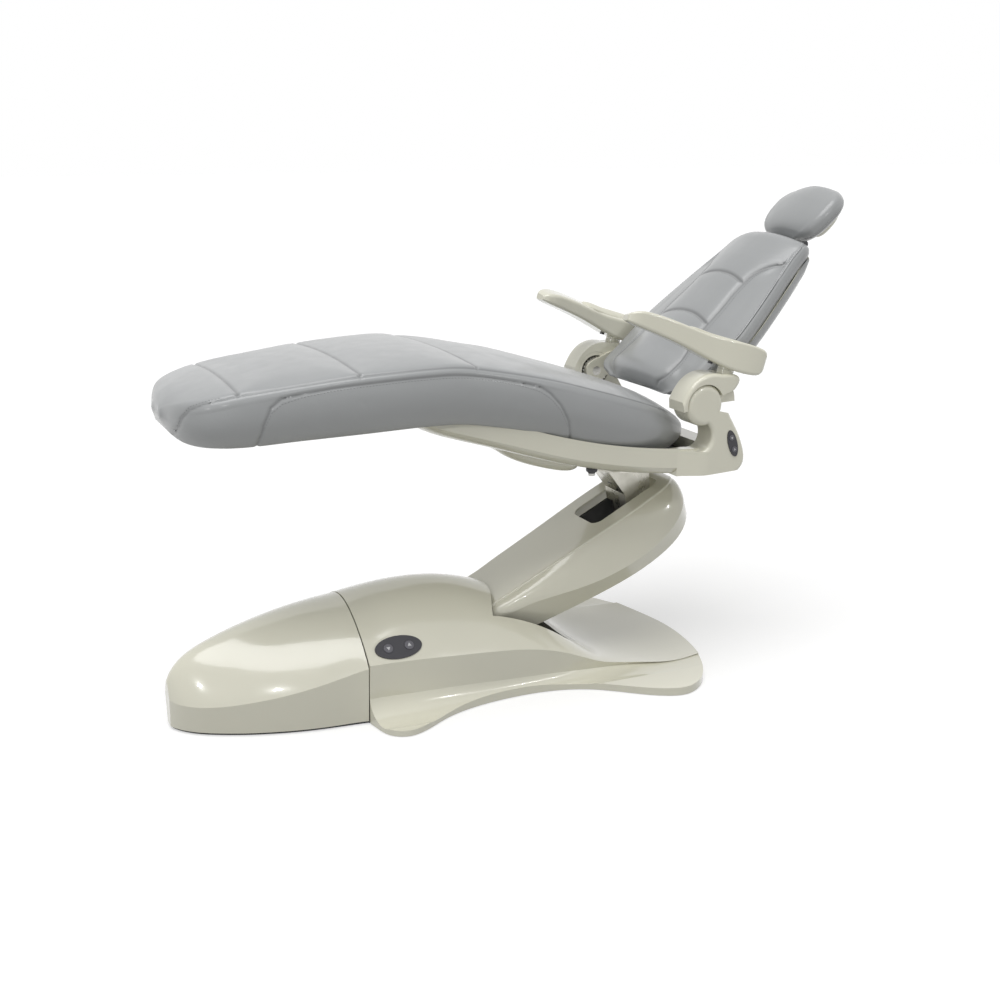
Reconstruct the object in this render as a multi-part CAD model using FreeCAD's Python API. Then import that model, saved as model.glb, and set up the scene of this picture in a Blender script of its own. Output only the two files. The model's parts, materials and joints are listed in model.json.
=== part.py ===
import FreeCAD, Part
import math
import os

from FreeCAD import Vector

# Electric dental chair in millimetres: a floor base with a parallel lift arm, a swivelling seat,
# a reclining back with armrests and a headrest. +X runs from the toes to the head, +Z is up,
# and the origin is on the floor at the centre of the four anchor holes.
# The rest pose is the raised chair with the back half reclined.

# Clearances
RUN_GAP = 0.4
SEAT_GAP = 0.3
PIN_GAP = 0.05

# Base plate
PLATE_THICK = 10.0
ANCHOR_SPACING_X = 330.0
ANCHOR_SPACING_Y = 270.0
ANCHOR_RADIUS = 6.5

# Base covers
COVER_WALL = 5.0
SKIRT_LIFT = 1.5
SKIRT_WALL = 7.0
COVER_SEAM_X = -420.0
COVER_SEAM_GAP = 2.5
NOSE_LIFT = 7.0
NOSE_FLANGE = 14.0

# Plan of the main cover from the seam to the rear, as x and half width
MAIN_PLAN = [
    (COVER_SEAM_X, 190.0),
    (-414.0, 222.0),
    (-397.0, 268.0),
    (-368.0, 286.0),
    (-325.0, 279.0),
    (-255.0, 240.0),
    (-160.0, 208.0),
    (-60.0, 198.0),
    (40.0, 205.0),
    (130.0, 237.0),
    (215.0, 303.0),
    (280.0, 350.0),
    (325.0, 363.0),
    (368.0, 349.0),
    (418.0, 300.0),
    (468.0, 204.0),
    (498.0, 100.0),
    (507.0, 0.0),
]

# Sections of the main cover along x: deck height, half width where the flare starts, then half width
# and height of the wall's foot, the crease, the shoulder, and the height of the crown
MAIN_SECTIONS = [
    (COVER_SEAM_X, 15.0, 262.0, (188.0, 62.0), (194.0, 146.0), (122.0, 211.0), 256.0),
    (-330.0, 15.0, 268.0, (190.0, 60.0), (197.0, 144.0), (124.0, 217.0), 269.0),
    (-240.0, 15.0, 262.0, (190.0, 56.0), (197.0, 138.0), (124.0, 218.0), 272.0),
    (-140.0, 15.0, 240.0, (188.0, 50.0), (196.0, 130.0), (124.0, 208.0), 260.0),
    (-50.0, 15.0, 230.0, (187.0, 44.0), (195.0, 121.0), (124.0, 190.0), 232.0),
    (40.0, 16.0, 232.0, (188.0, 40.0), (195.0, 104.0), (128.0, 150.0), 178.0),
    (110.0, 17.0, 240.0, (190.0, 36.0), (196.0, 80.0), (132.0, 106.0), 114.0),
    (170.0, 18.0, 250.0, (192.0, 33.0), (197.0, 55.0), (134.0, 64.0), 62.0),
    (250.0, 20.0, 258.0, (196.0, 30.0), (202.0, 38.0), (138.0, 34.0), 30.0),
    (330.0, 21.0, 266.0, (206.0, 26.0), (215.0, 29.0), (150.0, 25.0), 21.0),
    (420.0, 21.0, 266.0, (206.0, 23.0), (215.0, 24.0), (150.0, 21.0), 19.0),
    (530.0, 21.0, 266.0, (206.0, 23.0), (215.0, 24.0), (150.0, 21.0), 19.0),
]

# Sections of the nose cover from the seam to the tip: half width of the foot, crease, shoulder, crown
NOSE_SECTIONS = [
    (COVER_SEAM_X - COVER_SEAM_GAP, 185.0, (194.0, 140.0), (122.0, 209.0), 255.0),
    (-500.0, 176.0, (186.0, 122.0), (118.0, 198.0), 248.0),
    (-570.0, 165.0, (175.0, 106.0), (110.0, 185.0), 238.0),
    (-640.0, 146.0, (156.0, 92.0), (98.0, 170.0), 223.0),
    (-700.0, 124.0, (134.0, 82.0), (84.0, 154.0), 207.0),
    (-750.0, 100.0, (110.0, 75.0), (68.0, 141.0), 190.0),
    (-795.0, 72.0, (82.0, 72.0), (50.0, 127.0), 168.0),
    (-825.0, 42.0, (52.0, 72.0), (32.0, 111.0), 141.0),
    (-841.0, 15.0, (23.0, 74.0), (14.0, 97.0), 112.0),
]

# Lift linkage
LIFT_PIVOT_X = -20.0
LIFT_PIVOT_Z = 165.0
ARM_LENGTH = 440.0
ARM_ANGLE = 27.0
ARM_LOWERS = 31.0
ARM_RISES = 8.0
SHAFT_RADIUS = 18.0
CHEEK_INNER = 38.0
CHEEK_THICK = 12.0
ARM_PLATE_GAP = 4.0
ARM_PLATE_THICK = 8.0
ARM_PLATE_HALF_DEPTH = 38.0
CARRIER_PIN_RADIUS = 16.0
TIE_DROP = 42.0
TIE_ROD_Y = 20.0
TIE_ROD_THICK = 14.0
TIE_ROD_DEPTH = 20.0
TIE_PIN_RADIUS = 7.0
CRANK_RADIUS = 75.0
CRANK_LAG = 105.5
CRANK_PIN_RADIUS = 8.0
CRANK_INNER = 10.0
CRANK_THICK = 7.0
RAM_RADIUS = 9.0
RAM_HEAD_SLACK = 1.2
RAM_HEAD_LIFT = 5.0
TUBE_RADIUS = 22.0
TUBE_FRONT_X = -540.0
TUBE_REAR_X = -170.0

# Arm cover along the arm: half width and height of the ridge, the flange and the belly
ARM_COVER_WALL = 4.0
ARM_TOP = 57.0
ARM_SECTIONS = [
    (-58.0, 60.0, 22.0, (74.0, 10.0), (70.0, -4.0)),
    (-44.0, 84.0, 44.0, (100.0, 18.0), (88.0, -22.0)),
    (-14.0, 94.0, ARM_TOP, (114.0, 22.0), (94.0, -42.0)),
    (20.0, 96.0, ARM_TOP, (119.0, 18.0), (97.0, -54.0)),
    (60.0, 98.0, ARM_TOP, (124.0, 12.0), (100.0, -62.0)),
    (165.0, 102.0, ARM_TOP, (137.0, -17.0), (108.0, -77.0)),
    (300.0, 108.0, ARM_TOP, (149.0, -42.0), (118.0, -91.0)),
    (400.0, 111.0, ARM_TOP, (152.0, -42.0), (122.0, -92.0)),
    (480.0, 108.0, ARM_TOP, (146.0, -26.0), (120.0, -80.0)),
    (530.0, 94.0, ARM_TOP - 3.0, (126.0, -6.0), (104.0, -62.0)),
    (556.0, 68.0, ARM_TOP - 10.0, (94.0, 6.0), (78.0, -44.0)),
    (568.0, 40.0, ARM_TOP - 22.0, (56.0, 10.0), (46.0, -26.0)),
]
ARM_POCKET_START = 316.0
ARM_POCKET_END = 526.0
ARM_POCKET_HALF_WIDTH = 62.0
ARM_POCKET_ROUND = 26.0

# Seat carrier and swivel
CARRIER_SETBACK = 32.0
CARRIER_RISE = 140.0
CARRIER_HALF_WIDTH = 50.0
FLANGE_RADIUS = 84.0
FLANGE_THICK = 14.0
SPIGOT_RADIUS = 30.0
SPIGOT_DEPTH = 60.0
THRUST_RING_THICK = 11.0

# Seat cushion along the seat, from the swivel axis: half width, underside, upper edge
SEAT_SECTIONS = [
    (-1156.0, 34.0, 226.0, 244.0),
    (-1152.0, 62.0, 216.0, 252.0),
    (-1143.0, 98.0, 204.0, 261.0),
    (-1127.0, 136.0, 192.0, 270.0),
    (-1100.0, 173.0, 182.0, 280.0),
    (-1065.0, 200.0, 177.0, 289.0),
    (-1030.0, 212.0, 176.0, 296.0),
    (-900.0, 231.0, 182.0, 311.0),
    (-777.0, 247.0, 187.0, 322.0),
    (-590.0, 264.0, 193.0, 329.0),
    (-518.0, 268.0, 188.0, 322.0),
    (-345.0, 272.0, 152.0, 286.0),
    (-220.0, 271.0, 113.0, 250.0),
    (-110.0, 264.0, 85.0, 215.0),
    (-35.0, 250.0, 73.0, 187.0),
    (22.0, 228.0, 73.0, 159.0),
    (54.0, 204.0, 83.0, 139.0),
    (68.0, 178.0, 99.0, 121.0),
]
SEAT_CROWN = 12.0
SEAT_CORNER = 26.0
SEAT_TUCK = 28.0
SEAT_SEAMS = [-1030.0, -777.0, -518.0]
SEAM_WIDTH = 5.0
SEAM_DEPTH = 4.0

# Seat pan along the seat: half width of rim and floor, height of floor
PAN_SECTIONS = [
    (-632.0, 196.0, 120.0, 184.0),
    (-549.0, 222.0, 160.0, 148.0),
    (-464.0, 236.0, 186.0, 124.0),
    (-313.0, 250.0, 206.0, 78.0),
    (-207.0, 256.0, 212.0, 51.0),
    (-99.0, 260.0, 216.0, 31.0),
    (71.0, 270.0, 222.0, 15.0),
    (150.0, 274.0, 226.0, 14.0),
]
PAN_RIM_ABOVE_FLOOR = 66.0
PAN_WALL = 6.0
PAN_SWIVEL_HOLE = 100.0

# Yokes that carry the back
HUB_X = 55.0
HUB_Z = 190.0
HUB_RADIUS = 50.0
HUB_PIN_RADIUS = 12.0
YOKE_OUTER = 296.0
YOKE_INNER = 232.0
NECK_TOP_ANGLE = -14.0
EAR_RADIUS = 88.0
EAR_MARGIN = 11.0
YOKE_ROUND = 9.0
HUB_ROUND = 14.0
HUB_FACE = 10.0
GEAR_RADIUS = 38.0
GEAR_THICK = 13.0
GEAR_TEETH = 24

# Back
BACK_ANGLE = 41.5
BACK_RECLINES = 35.0
BACK_RAISES = 28.0
LINK_PLATE_THICK = 8.0
BACK_FRAME_THICK = 5.0
BACK_FRAME_INSET = 16.0
# Back cushion along the back, from the hub: half width, rear face, front edge
BACK_SECTIONS = [
    (0.0, 150.0, 0.0, 13.0),
    (8.0, 184.0, -12.0, 17.0),
    (28.0, 205.0, -20.0, 18.0),
    (62.0, 213.0, -24.5, 16.0),
    (100.0, 215.0, -25.8, 14.0),
    (150.0, 216.0, -26.0, 14.0),
    (225.0, 216.0, -26.0, 14.0),
    (370.0, 184.0, -26.0, 14.0),
    (470.0, 154.0, -26.0, 14.0),
    (508.0, 146.0, -25.0, 12.0),
    (524.0, 134.0, -21.0, 6.0),
    (530.0, 112.0, -16.0, -2.0),
]
BACK_CROWN = 36.0
BACK_CORNER = 10.0
BACK_TUCK = 8.0
BACK_SEAMS = [225.0, 370.0]
BACK_SHELL_INSET = 8.0
BACK_SHELL_START = (42.0, 184.0)
BACK_SHELL_DEPTH = 32.0
BACK_SHELL_WALL = 4.0

# Headrest
BAR_WIDTH = 50.0
BAR_THICK = 8.0
BAR_FACE = -38.0
BAR_LOW = 300.0
BAR_HIGH = 552.0
BAR_TRAVEL = 110.0
GUIDE_WALL = 4.0
HEAD_PIVOT_U = 566.0
HEAD_PIVOT_N = -48.0
HEAD_TILT_BACK = 25.0
HEAD_TILT_FORWARD = 20.0
HEAD_PIN_RADIUS = 6.0
HEAD_EYE_RADIUS = 12.0
HEAD_LUG_HALF_WIDTH = 12.0
HEAD_BOARD_THICK = 4.0
HEAD_SHELL_DEPTH = 16.0
# Headrest cushion along the back: half width, rear face, front edge
HEAD_SECTIONS = [
    (554.0, 50.0, -24.0, -8.0),
    (560.0, 78.0, -34.0, 0.0),
    (578.0, 100.0, -41.0, 9.0),
    (612.0, 112.0, -44.0, 14.0),
    (650.0, 114.0, -44.0, 15.0),
    (688.0, 102.0, -42.0, 11.0),
    (710.0, 79.0, -35.0, 3.0),
    (721.0, 50.0, -26.0, -7.0),
]
HEAD_CROWN = 16.0
HEAD_CORNER = 14.0
HEAD_TUCK = 30.0
# Recess in the back of the headrest for its hinge
HEAD_RECESS_HALF_WIDTH = 50.0
HEAD_RECESS_TOP = 602.0
HEAD_RECESS_FLOOR = -30.0
# Rear cover of the headrest along the back: half width
HEAD_SHELL_SECTIONS = [(598.0, 60.0), (612.0, 73.0), (650.0, 78.0), (676.0, 70.0), (692.0, 50.0)]
HEAD_SHELL_WALL = 3.0
HEAD_BOARD_FROM = 606.0
HEAD_BOARD_TO = 680.0
HEAD_BOARD_HALF_WIDTH = 56.0

# Armrests, measured from the top of the post: x runs forwards before the tilt
ARMREST_TILT = 16.5
ARMREST_TOE_IN = 10.0
ARMREST_SWING = 20.0
POST_X = 73.0
POST_Z = 76.0
POST_RADIUS = 20.0
POST_DEPTH = 22.0
POST_PIN_RADIUS = 9.0
POST_PIN_HEIGHT = 32.0
# Armrest sections from the rear end to the tip: half width, underside, outer top, inner top
ARMREST_SECTIONS = [
    (-87.0, 16.0, 26.0, 52.0, 44.0),
    (-79.0, 26.0, 9.0, 66.0, 53.0),
    (-60.0, 32.0, 3.0, 71.0, 56.0),
    (63.0, 32.0, 12.0, 71.0, 56.0),
    (141.0, 31.0, 28.0, 77.0, 64.0),
    (226.0, 29.0, 40.0, 83.0, 72.0),
    (268.0, 24.0, 46.0, 76.0, 68.0),
    (282.0, 14.0, 50.0, 65.0, 60.0),
]
ARMREST_ROUND = 8.0
ARMREST_PAD_FROM = -52.0
ARMREST_PAD_TO = 130.0
ARMREST_PAD_HALF_WIDTH = 23.0
ARMREST_PAD_SUNK = 4.0
ARMREST_PAD_RAISED = 7.0
LATCH_RADIUS = 6.0
LATCH_X = 44.0
LATCH_TRAVEL = 3.0

# Control pads and their buttons
BASE_PAD_X = -342.0
BASE_PAD_RISE = 36.0
BASE_PAD_HALF_LENGTH = 57.0
BASE_PAD_HALF_HEIGHT = 28.0
YOKE_PAD_HALF_LENGTH = 34.0
YOKE_PAD_HALF_WIDTH = 12.5
PAD_THICK = 12.0
PAD_PROUD = 2.5
BUTTON_TRAVEL = 1.5
BUTTON_PROUD = 2.0
BASE_BUTTON_RADIUS = 11.0
YOKE_BUTTON_RADIUS = 7.0

Y_AXIS = Vector(0, 1, 0)
ORIGIN = Vector(0, 0, 0)


# Places worked out from the sizes above

ARM_DIRECTION = math.radians(ARM_ANGLE)
LIFT_PIVOT = Vector(LIFT_PIVOT_X, 0, LIFT_PIVOT_Z)
ARM_END = LIFT_PIVOT + Vector(math.cos(ARM_DIRECTION), 0, math.sin(ARM_DIRECTION)) * ARM_LENGTH
TIE_OFFSET = Vector(0, 0, -TIE_DROP)
CRANK_DIRECTION = math.radians(ARM_ANGLE - CRANK_LAG)
CRANK_PIN = LIFT_PIVOT + Vector(math.cos(CRANK_DIRECTION), 0, math.sin(CRANK_DIRECTION)) * CRANK_RADIUS
SEAT_ORIGIN = ARM_END + Vector(-CARRIER_SETBACK, 0, CARRIER_RISE)
HUB = SEAT_ORIGIN + Vector(HUB_X, 0, HUB_Z)
CHEEK_OUTER = CHEEK_INNER + CHEEK_THICK
ARM_PLATE_INNER = CHEEK_OUTER + ARM_PLATE_GAP
ARM_PLATE_OUTER = ARM_PLATE_INNER + ARM_PLATE_THICK


# Drawing helpers

def line(start, end):
    return Part.LineSegment(start, end).toShape()


def arc(start, middle, end):
    return Part.Arc(start, middle, end).toShape()


def curve(points):
    spline = Part.BSplineCurve()
    spline.interpolate(points)
    return spline.toShape()


def loft(wires):
    return Part.makeLoft(wires, True, False)


def box(low, high):
    size = high - low
    return Part.makeBox(size.x, size.y, size.z, low)


def cylinder(start, end, radius):
    along = end - start
    return Part.makeCylinder(radius, along.Length, start, along)


def cross_pin(centre, radius, y_from, y_to):
    return cylinder(centre + Y_AXIS * y_from, centre + Y_AXIS * y_to, radius)


def slab(outline, y_from, y_to):
    """Outline in x and z, given as points or edges, run across the chair."""
    if isinstance(outline[0], Part.Edge):
        wire = Part.Wire(Part.__sortEdges__(outline))
    else:
        wire = Part.makePolygon(outline + [outline[0]])
    face = Part.Face(wire)
    face.translate(Y_AXIS * y_from)
    return face.extrude(Y_AXIS * (y_to - y_from))


def polar(centre, radius, degrees):
    angle = math.radians(degrees)
    return centre + Vector(math.cos(angle), 0, math.sin(angle)) * radius


def eye_bar(first, second, first_radius, second_radius, y_from, y_to):
    """Flat link with a round eye at each end and straight tangent sides."""
    along = second - first
    slope = math.degrees(math.atan2(along.z, along.x))
    lean = math.degrees(math.acos((first_radius - second_radius) / along.Length))
    sides = [
        line(polar(first, first_radius, slope + lean), polar(second, second_radius, slope + lean)),
        arc(
            polar(second, second_radius, slope + lean),
            polar(second, second_radius, slope),
            polar(second, second_radius, slope - lean),
        ),
        line(polar(second, second_radius, slope - lean), polar(first, first_radius, slope - lean)),
        arc(
            polar(first, first_radius, slope - lean),
            polar(first, first_radius, slope + 180),
            polar(first, first_radius, slope + lean),
        ),
    ]
    return slab(sides, y_from, y_to)


def pitched(shape, origin, degrees):
    """Shape drawn level at its own origin, pitched up about that origin and put in its place."""
    placed = shape.copy()
    placed.Placement = FreeCAD.Placement(origin, FreeCAD.Rotation(Y_AXIS, -degrees))
    return placed


def mirrored(shape):
    return shape.mirror(ORIGIN, Y_AXIS)


def rounded(shape, radius, wanted):
    edges = [edge for edge in shape.Edges if wanted(edge)]
    return shape.makeFillet(radius, edges)


# Cushions

def cushion_wire(x, half_width, low, edge, crown, corner, tuck):
    """Cushion section: flat underside, drawn-in sides, round top corners, crowned top."""
    height = edge - low
    turn = min(corner, 0.4 * height)
    inset = min(tuck, 0.4 * half_width)
    top_width = half_width - 0.12 * inset
    rise = crown * min(1.0, height / 40.0)

    def at(y, z):
        return Vector(x, y, z)

    corner_mid = turn * (1 - math.sqrt(0.5))
    edges = [line(at(-half_width + inset, low), at(half_width - inset, low))]
    edges.append(arc(
        at(half_width - inset, low),
        at(half_width - 0.25 * inset, low + 0.35 * height),
        at(top_width, edge - turn),
    ))
    edges.append(arc(
        at(top_width, edge - turn),
        at(top_width - corner_mid, edge - corner_mid),
        at(top_width - turn, edge),
    ))
    edges.append(arc(at(top_width - turn, edge), at(0, edge + rise), at(-top_width + turn, edge)))
    edges.append(arc(
        at(-top_width + turn, edge),
        at(-top_width + corner_mid, edge - corner_mid),
        at(-top_width, edge - turn),
    ))
    edges.append(arc(
        at(-top_width, edge - turn),
        at(-half_width + 0.25 * inset, low + 0.35 * height),
        at(-half_width + inset, low),
    ))
    return Part.Wire(edges)


def cushion(sections, crown, corner, tuck, grow=0.0):
    wires = []
    for x, half_width, low, edge in sections:
        wires.append(cushion_wire(x, half_width + grow, low - grow, edge + grow, crown, corner, tuck))
    return loft(wires)


def seam_channel(section, crown, corner, tuck):
    """Band round a cushion section, as deep and wide as a sewn channel, above the underside."""
    x, half_width, low, edge = section
    outer = Part.Face(cushion_wire(x, half_width + 10, low - 10, edge + 10, crown, corner, tuck))
    inner = Part.Face(cushion_wire(
        x, half_width - SEAM_DEPTH, low - 20, edge - SEAM_DEPTH, crown, corner, tuck,
    ))
    band = outer.cut(inner).extrude(Vector(SEAM_WIDTH, 0, 0))
    band.translate(Vector(-SEAM_WIDTH / 2, 0, 0))
    above = box(Vector(x - 20, -400, edge - corner), Vector(x + 20, 400, edge + 200))
    return band.common(above)


def sewn_cushion(sections, seams, crown, corner, tuck):
    shape = cushion(sections, crown, corner, tuck)
    for section in sections:
        if section[0] in seams:
            shape = shape.cut(seam_channel(section, crown, corner, tuck))
    return shape


# Floor base

def moved_in(points, inset):
    """Points of a plan outline, each moved square to the outline towards the middle."""
    moved = []
    last = len(points) - 1
    for index, point in enumerate(points):
        before = points[max(index - 1, 0)]
        after = points[min(index + 1, last)]
        along = (after - before).normalize()
        moved.append(point + Vector(along.y, -along.x, 0) * inset)
    return moved


def plan_face(inset):
    """Outline of the whole base on the floor, nose and main cover together."""
    nose = [Vector(x, half_width, 0) for x, half_width, *rest in reversed(NOSE_SECTIONS)]
    main = [Vector(x, half_width, 0) for x, half_width in MAIN_PLAN]
    nose = moved_in(nose, inset)
    nose[-1].x = COVER_SEAM_X - COVER_SEAM_GAP
    main = moved_in(main, inset)
    main[-1].y = 0.0
    far = [curve(nose), line(nose[-1], main[0]), curve(main)]
    near = [mirrored(edge) for edge in far]
    tip = line(nose[0], Vector(nose[0].x, -nose[0].y, 0))
    return Part.Face(Part.Wire(Part.__sortEdges__(far + near + [tip])))


def anchor_places():
    for x in (-ANCHOR_SPACING_X / 2, ANCHOR_SPACING_X / 2):
        for y in (-ANCHOR_SPACING_Y / 2, ANCHOR_SPACING_Y / 2):
            yield Vector(x, y, 0)


def base_plate():
    plate = plan_face(SKIRT_WALL + SEAT_GAP).extrude(Vector(0, 0, PLATE_THICK))
    for place in anchor_places():
        plate = plate.cut(cylinder(place, place + Vector(0, 0, PLATE_THICK), ANCHOR_RADIUS))
    return plate


def dome_wire(x, foot_width, foot_height, crease, shoulder, crown, inset=0.0):
    def at(y, z):
        return Vector(x, y, z)

    foot = foot_width - inset
    crease_y, crease_z = crease[0] - inset, crease[1] - inset / 2
    shoulder_y, shoulder_z = shoulder[0] - inset / 2, shoulder[1] - inset
    arch = [
        at(crease_y, crease_z),
        at(shoulder_y, shoulder_z),
        at(0, crown - inset),
        at(-shoulder_y, shoulder_z),
        at(-crease_y, crease_z),
    ]
    return Part.Wire([
        line(at(-foot, foot_height), at(foot, foot_height)),
        line(at(foot, foot_height), arch[0]),
        curve(arch),
        line(arch[-1], at(-foot, foot_height)),
    ])


def nose_form(inset, low):
    wires = []
    last = len(NOSE_SECTIONS) - 1
    for index, (x, foot, crease, shoulder, crown) in enumerate(NOSE_SECTIONS):
        shift = inset if index == last else 0.0
        wires.append(dome_wire(x + shift, foot, low, crease, shoulder, crown, inset))
    return loft(wires)


def nose_cover():
    """Hollow nose, open at the seam, on a foot flange that stands on the plate."""
    flange_top = PLATE_THICK + 3.0
    shell = nose_form(0.0, NOSE_LIFT)
    hollow = nose_form(COVER_WALL, flange_top)
    seam = NOSE_SECTIONS[0]
    mouth = Part.Face(dome_wire(seam[0], seam[1], flange_top, *seam[2:], COVER_WALL))
    shell = shell.cut(hollow.fuse(mouth.extrude(Vector(2 * COVER_WALL, 0, 0))))
    shell = shell.cut(plan_face(SKIRT_WALL).extrude(Vector(0, 0, PLATE_THICK)))
    opening = plan_face(SKIRT_WALL + NOSE_FLANGE).extrude(Vector(0, 0, flange_top))
    return shell.cut(opening)


def cover_arch(x, crease, shoulder, crown):
    """Curve over the main cover from the far crease to the near one."""
    far = [Vector(x, *crease), Vector(x, *shoulder)]
    near = [Vector(point.x, -point.y, point.z) for point in far[::-1]]
    return curve(far + [Vector(x, 0, crown)] + near)


def cover_wire(x, deck, flare, foot, crease, shoulder, crown):
    """Upper form of the main cover at one station, wider than its plan and open below the floor."""
    reach = MAIN_SECTIONS[0][2] + 160.0
    below = -20.0

    def at(y, z):
        return Vector(x, y, z)

    side = []
    for sign in (1, -1):
        middle = at(
            sign * (foot[0] + 0.25 * (flare - foot[0])),
            deck + 0.25 * (foot[1] - deck),
        )
        side.append([
            line(at(sign * reach, below), at(sign * reach, deck)),
            line(at(sign * reach, deck), at(sign * flare, deck)),
            arc(at(sign * flare, deck), middle, at(sign * foot[0], foot[1])),
            line(at(sign * foot[0], foot[1]), at(sign * crease[0], crease[1])),
        ])
    arch = cover_arch(x, crease, shoulder, crown)
    floor = line(at(-reach, below), at(reach, below))
    return Part.Wire([floor] + side[0] + [arch] + side[1][::-1])


def arm_trough():
    """Room in the cover for the arm from its lowest to its highest place."""
    highest = ARM_ANGLE + ARM_RISES + 2
    lowest = ARM_ANGLE - ARM_LOWERS - 2
    room = ARM_TOP + 11.0
    half_width = ARM_SECTIONS[4][3][0] + 9.0
    rim = polar(LIFT_PIVOT, room, highest + 90)
    outline = [
        rim,
        polar(rim, 2 * ARM_LENGTH, highest),
        polar(LIFT_PIVOT, 2 * ARM_LENGTH, lowest),
    ]
    for u, ridge, top, flange, belly in ARM_SECTIONS[7:3:-1]:
        outline.append(polar(polar(LIFT_PIVOT, u, lowest), belly[1] - 6.0, lowest + 90))
    outline.append(polar(LIFT_PIVOT, room, -90))
    swing = slab(outline, -half_width, half_width)
    return swing.fuse(cross_pin(LIFT_PIVOT, room, -half_width, half_width))


def pad_frame(origin, normal, along):
    rotation = FreeCAD.Rotation(along, Vector(0, 0, 0), normal, "ZXY")
    return FreeCAD.Placement(origin, rotation)


def oval(half_length, half_width, low, high):
    ellipse = Part.Ellipse(ORIGIN, half_length, half_width).toShape()
    face = Part.Face(Part.Wire([ellipse]))
    face.translate(Vector(0, 0, low))
    return face.extrude(Vector(0, 0, high - low))


def base_pad_place():
    """On the near side face, a little above the crease, facing out."""
    arch = cover_arch(BASE_PAD_X, *MAIN_SECTIONS[1][4:])
    spot = arch.getParameterByLength(arch.Length - BASE_PAD_RISE)
    down = arch.tangentAt(spot)
    out = Vector(0, down.z, -down.y)
    return pad_frame(arch.valueAt(spot), out, Vector(1, 0, 0))


def yoke_pad_place():
    middle = SEAT_ORIGIN + Vector(135.0, -YOKE_OUTER, 92.0)
    along = Vector(-0.3, 0, 0.95)
    return pad_frame(middle, Vector(0, -1, 0), along)


def pad_plate(half_length, half_width, button_radius):
    plate = oval(half_length, half_width, PAD_PROUD - PAD_THICK, PAD_PROUD)
    for side in (-1, 1):
        middle = Vector(side * 0.45 * half_length, 0, PAD_PROUD)
        depth = Vector(0, 0, PAD_THICK - 3.0)
        plate = plate.cut(cylinder(middle - depth, middle, button_radius + SEAT_GAP))
    return plate


def pad_button(half_length, button_radius, side):
    middle = Vector(side * 0.45 * half_length, 0, PAD_PROUD)
    foot = middle - Vector(0, 0, PAD_THICK - 3.0 - BUTTON_TRAVEL - 0.5)
    button = cylinder(foot, middle + Vector(0, 0, BUTTON_PROUD), button_radius)
    return rounded(button, 1.2, lambda edge: edge.BoundBox.ZMin > PAD_PROUD)


def at_place(shape, place):
    placed = shape.copy()
    placed.Placement = place
    return placed


def pad_pocket(half_length, half_width):
    return oval(half_length + SEAT_GAP, half_width + SEAT_GAP, PAD_PROUD - PAD_THICK, 40.0)


def main_cover():
    plan = [Vector(x, half_width, 0) for x, half_width in MAIN_PLAN]
    far = curve(plan)
    front = line(plan[0], Vector(plan[0].x, -plan[0].y, 0))
    outline = Part.Face(Part.Wire(Part.__sortEdges__([far, mirrored(far), front])))
    outline.translate(Vector(0, 0, SKIRT_LIFT))
    shell = outline.extrude(Vector(0, 0, 320.0))
    shell = shell.common(loft([cover_wire(*section) for section in MAIN_SECTIONS]))
    hollow = []
    for x, deck, flare, foot, crease, shoulder, crown in MAIN_SECTIONS[:8]:
        hollow.append(dome_wire(x, foot[0], -20.0, crease, shoulder, crown, COVER_WALL))
    mouth = Part.Face(hollow[0]).extrude(Vector(-2 * COVER_WALL, 0, 0))
    shell = shell.cut(loft(hollow).fuse(mouth))
    shell = shell.cut(plan_face(SKIRT_WALL).extrude(Vector(0, 0, PLATE_THICK)))
    shell = shell.cut(arm_trough())
    seat = at_place(pad_pocket(BASE_PAD_HALF_LENGTH, BASE_PAD_HALF_HEIGHT), base_pad_place())
    lip = at_place(
        oval(BASE_PAD_HALF_LENGTH + 6, BASE_PAD_HALF_HEIGHT + 6, -PAD_THICK, -3.0), base_pad_place(),
    )
    return shell.fuse(lip).cut(seat)


def pivot_bracket():
    foot_height = PLATE_THICK + 8.0
    bracket = box(Vector(-115, -92, PLATE_THICK), Vector(75, 92, foot_height))
    for side in (-1, 1):
        inner, outer = sorted((side * CHEEK_INNER, side * CHEEK_OUTER))
        cheek = slab([
            line(Vector(LIFT_PIVOT_X - 30, 0, foot_height), Vector(70, 0, foot_height)),
            line(Vector(70, 0, foot_height), polar(LIFT_PIVOT, 30, 0)),
            arc(polar(LIFT_PIVOT, 30, 0), polar(LIFT_PIVOT, 30, 90), polar(LIFT_PIVOT, 30, 180)),
            line(polar(LIFT_PIVOT, 30, 180), Vector(LIFT_PIVOT_X - 30, 0, foot_height)),
        ], inner, outer)
        bracket = bracket.fuse(cheek)
    bracket = bracket.cut(cross_pin(LIFT_PIVOT, SHAFT_RADIUS + PIN_GAP, -CHEEK_OUTER, CHEEK_OUTER))
    tie_pivot = LIFT_PIVOT + TIE_OFFSET
    bracket = bracket.cut(cross_pin(tie_pivot, TIE_PIN_RADIUS, CHEEK_INNER, CHEEK_OUTER))
    for place in bracket_bolt_places():
        bracket = bracket.cut(cylinder(place, place + Vector(0, 0, 8.0), 5.0))
    return bracket.removeSplitter()


def bracket_bolt_places():
    for x in (-95.0, 55.0):
        for y in (-74.0, 74.0):
            yield Vector(x, y, PLATE_THICK)


def bracket_bolts():
    bolts = []
    for place in bracket_bolt_places():
        shank = cylinder(place, place + Vector(0, 0, 8.0), 5.0)
        across = 8.5
        corners = [polar(ORIGIN, across, 60 * step) for step in range(6)]
        head = Part.Face(Part.makePolygon([Vector(p.x, p.z, 0) for p in corners + corners[:1]]))
        head.translate(place + Vector(0, 0, 8.0))
        bolts.append(shank.fuse(head.extrude(Vector(0, 0, 6.0))))
    return Part.makeCompound(bolts)


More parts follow.
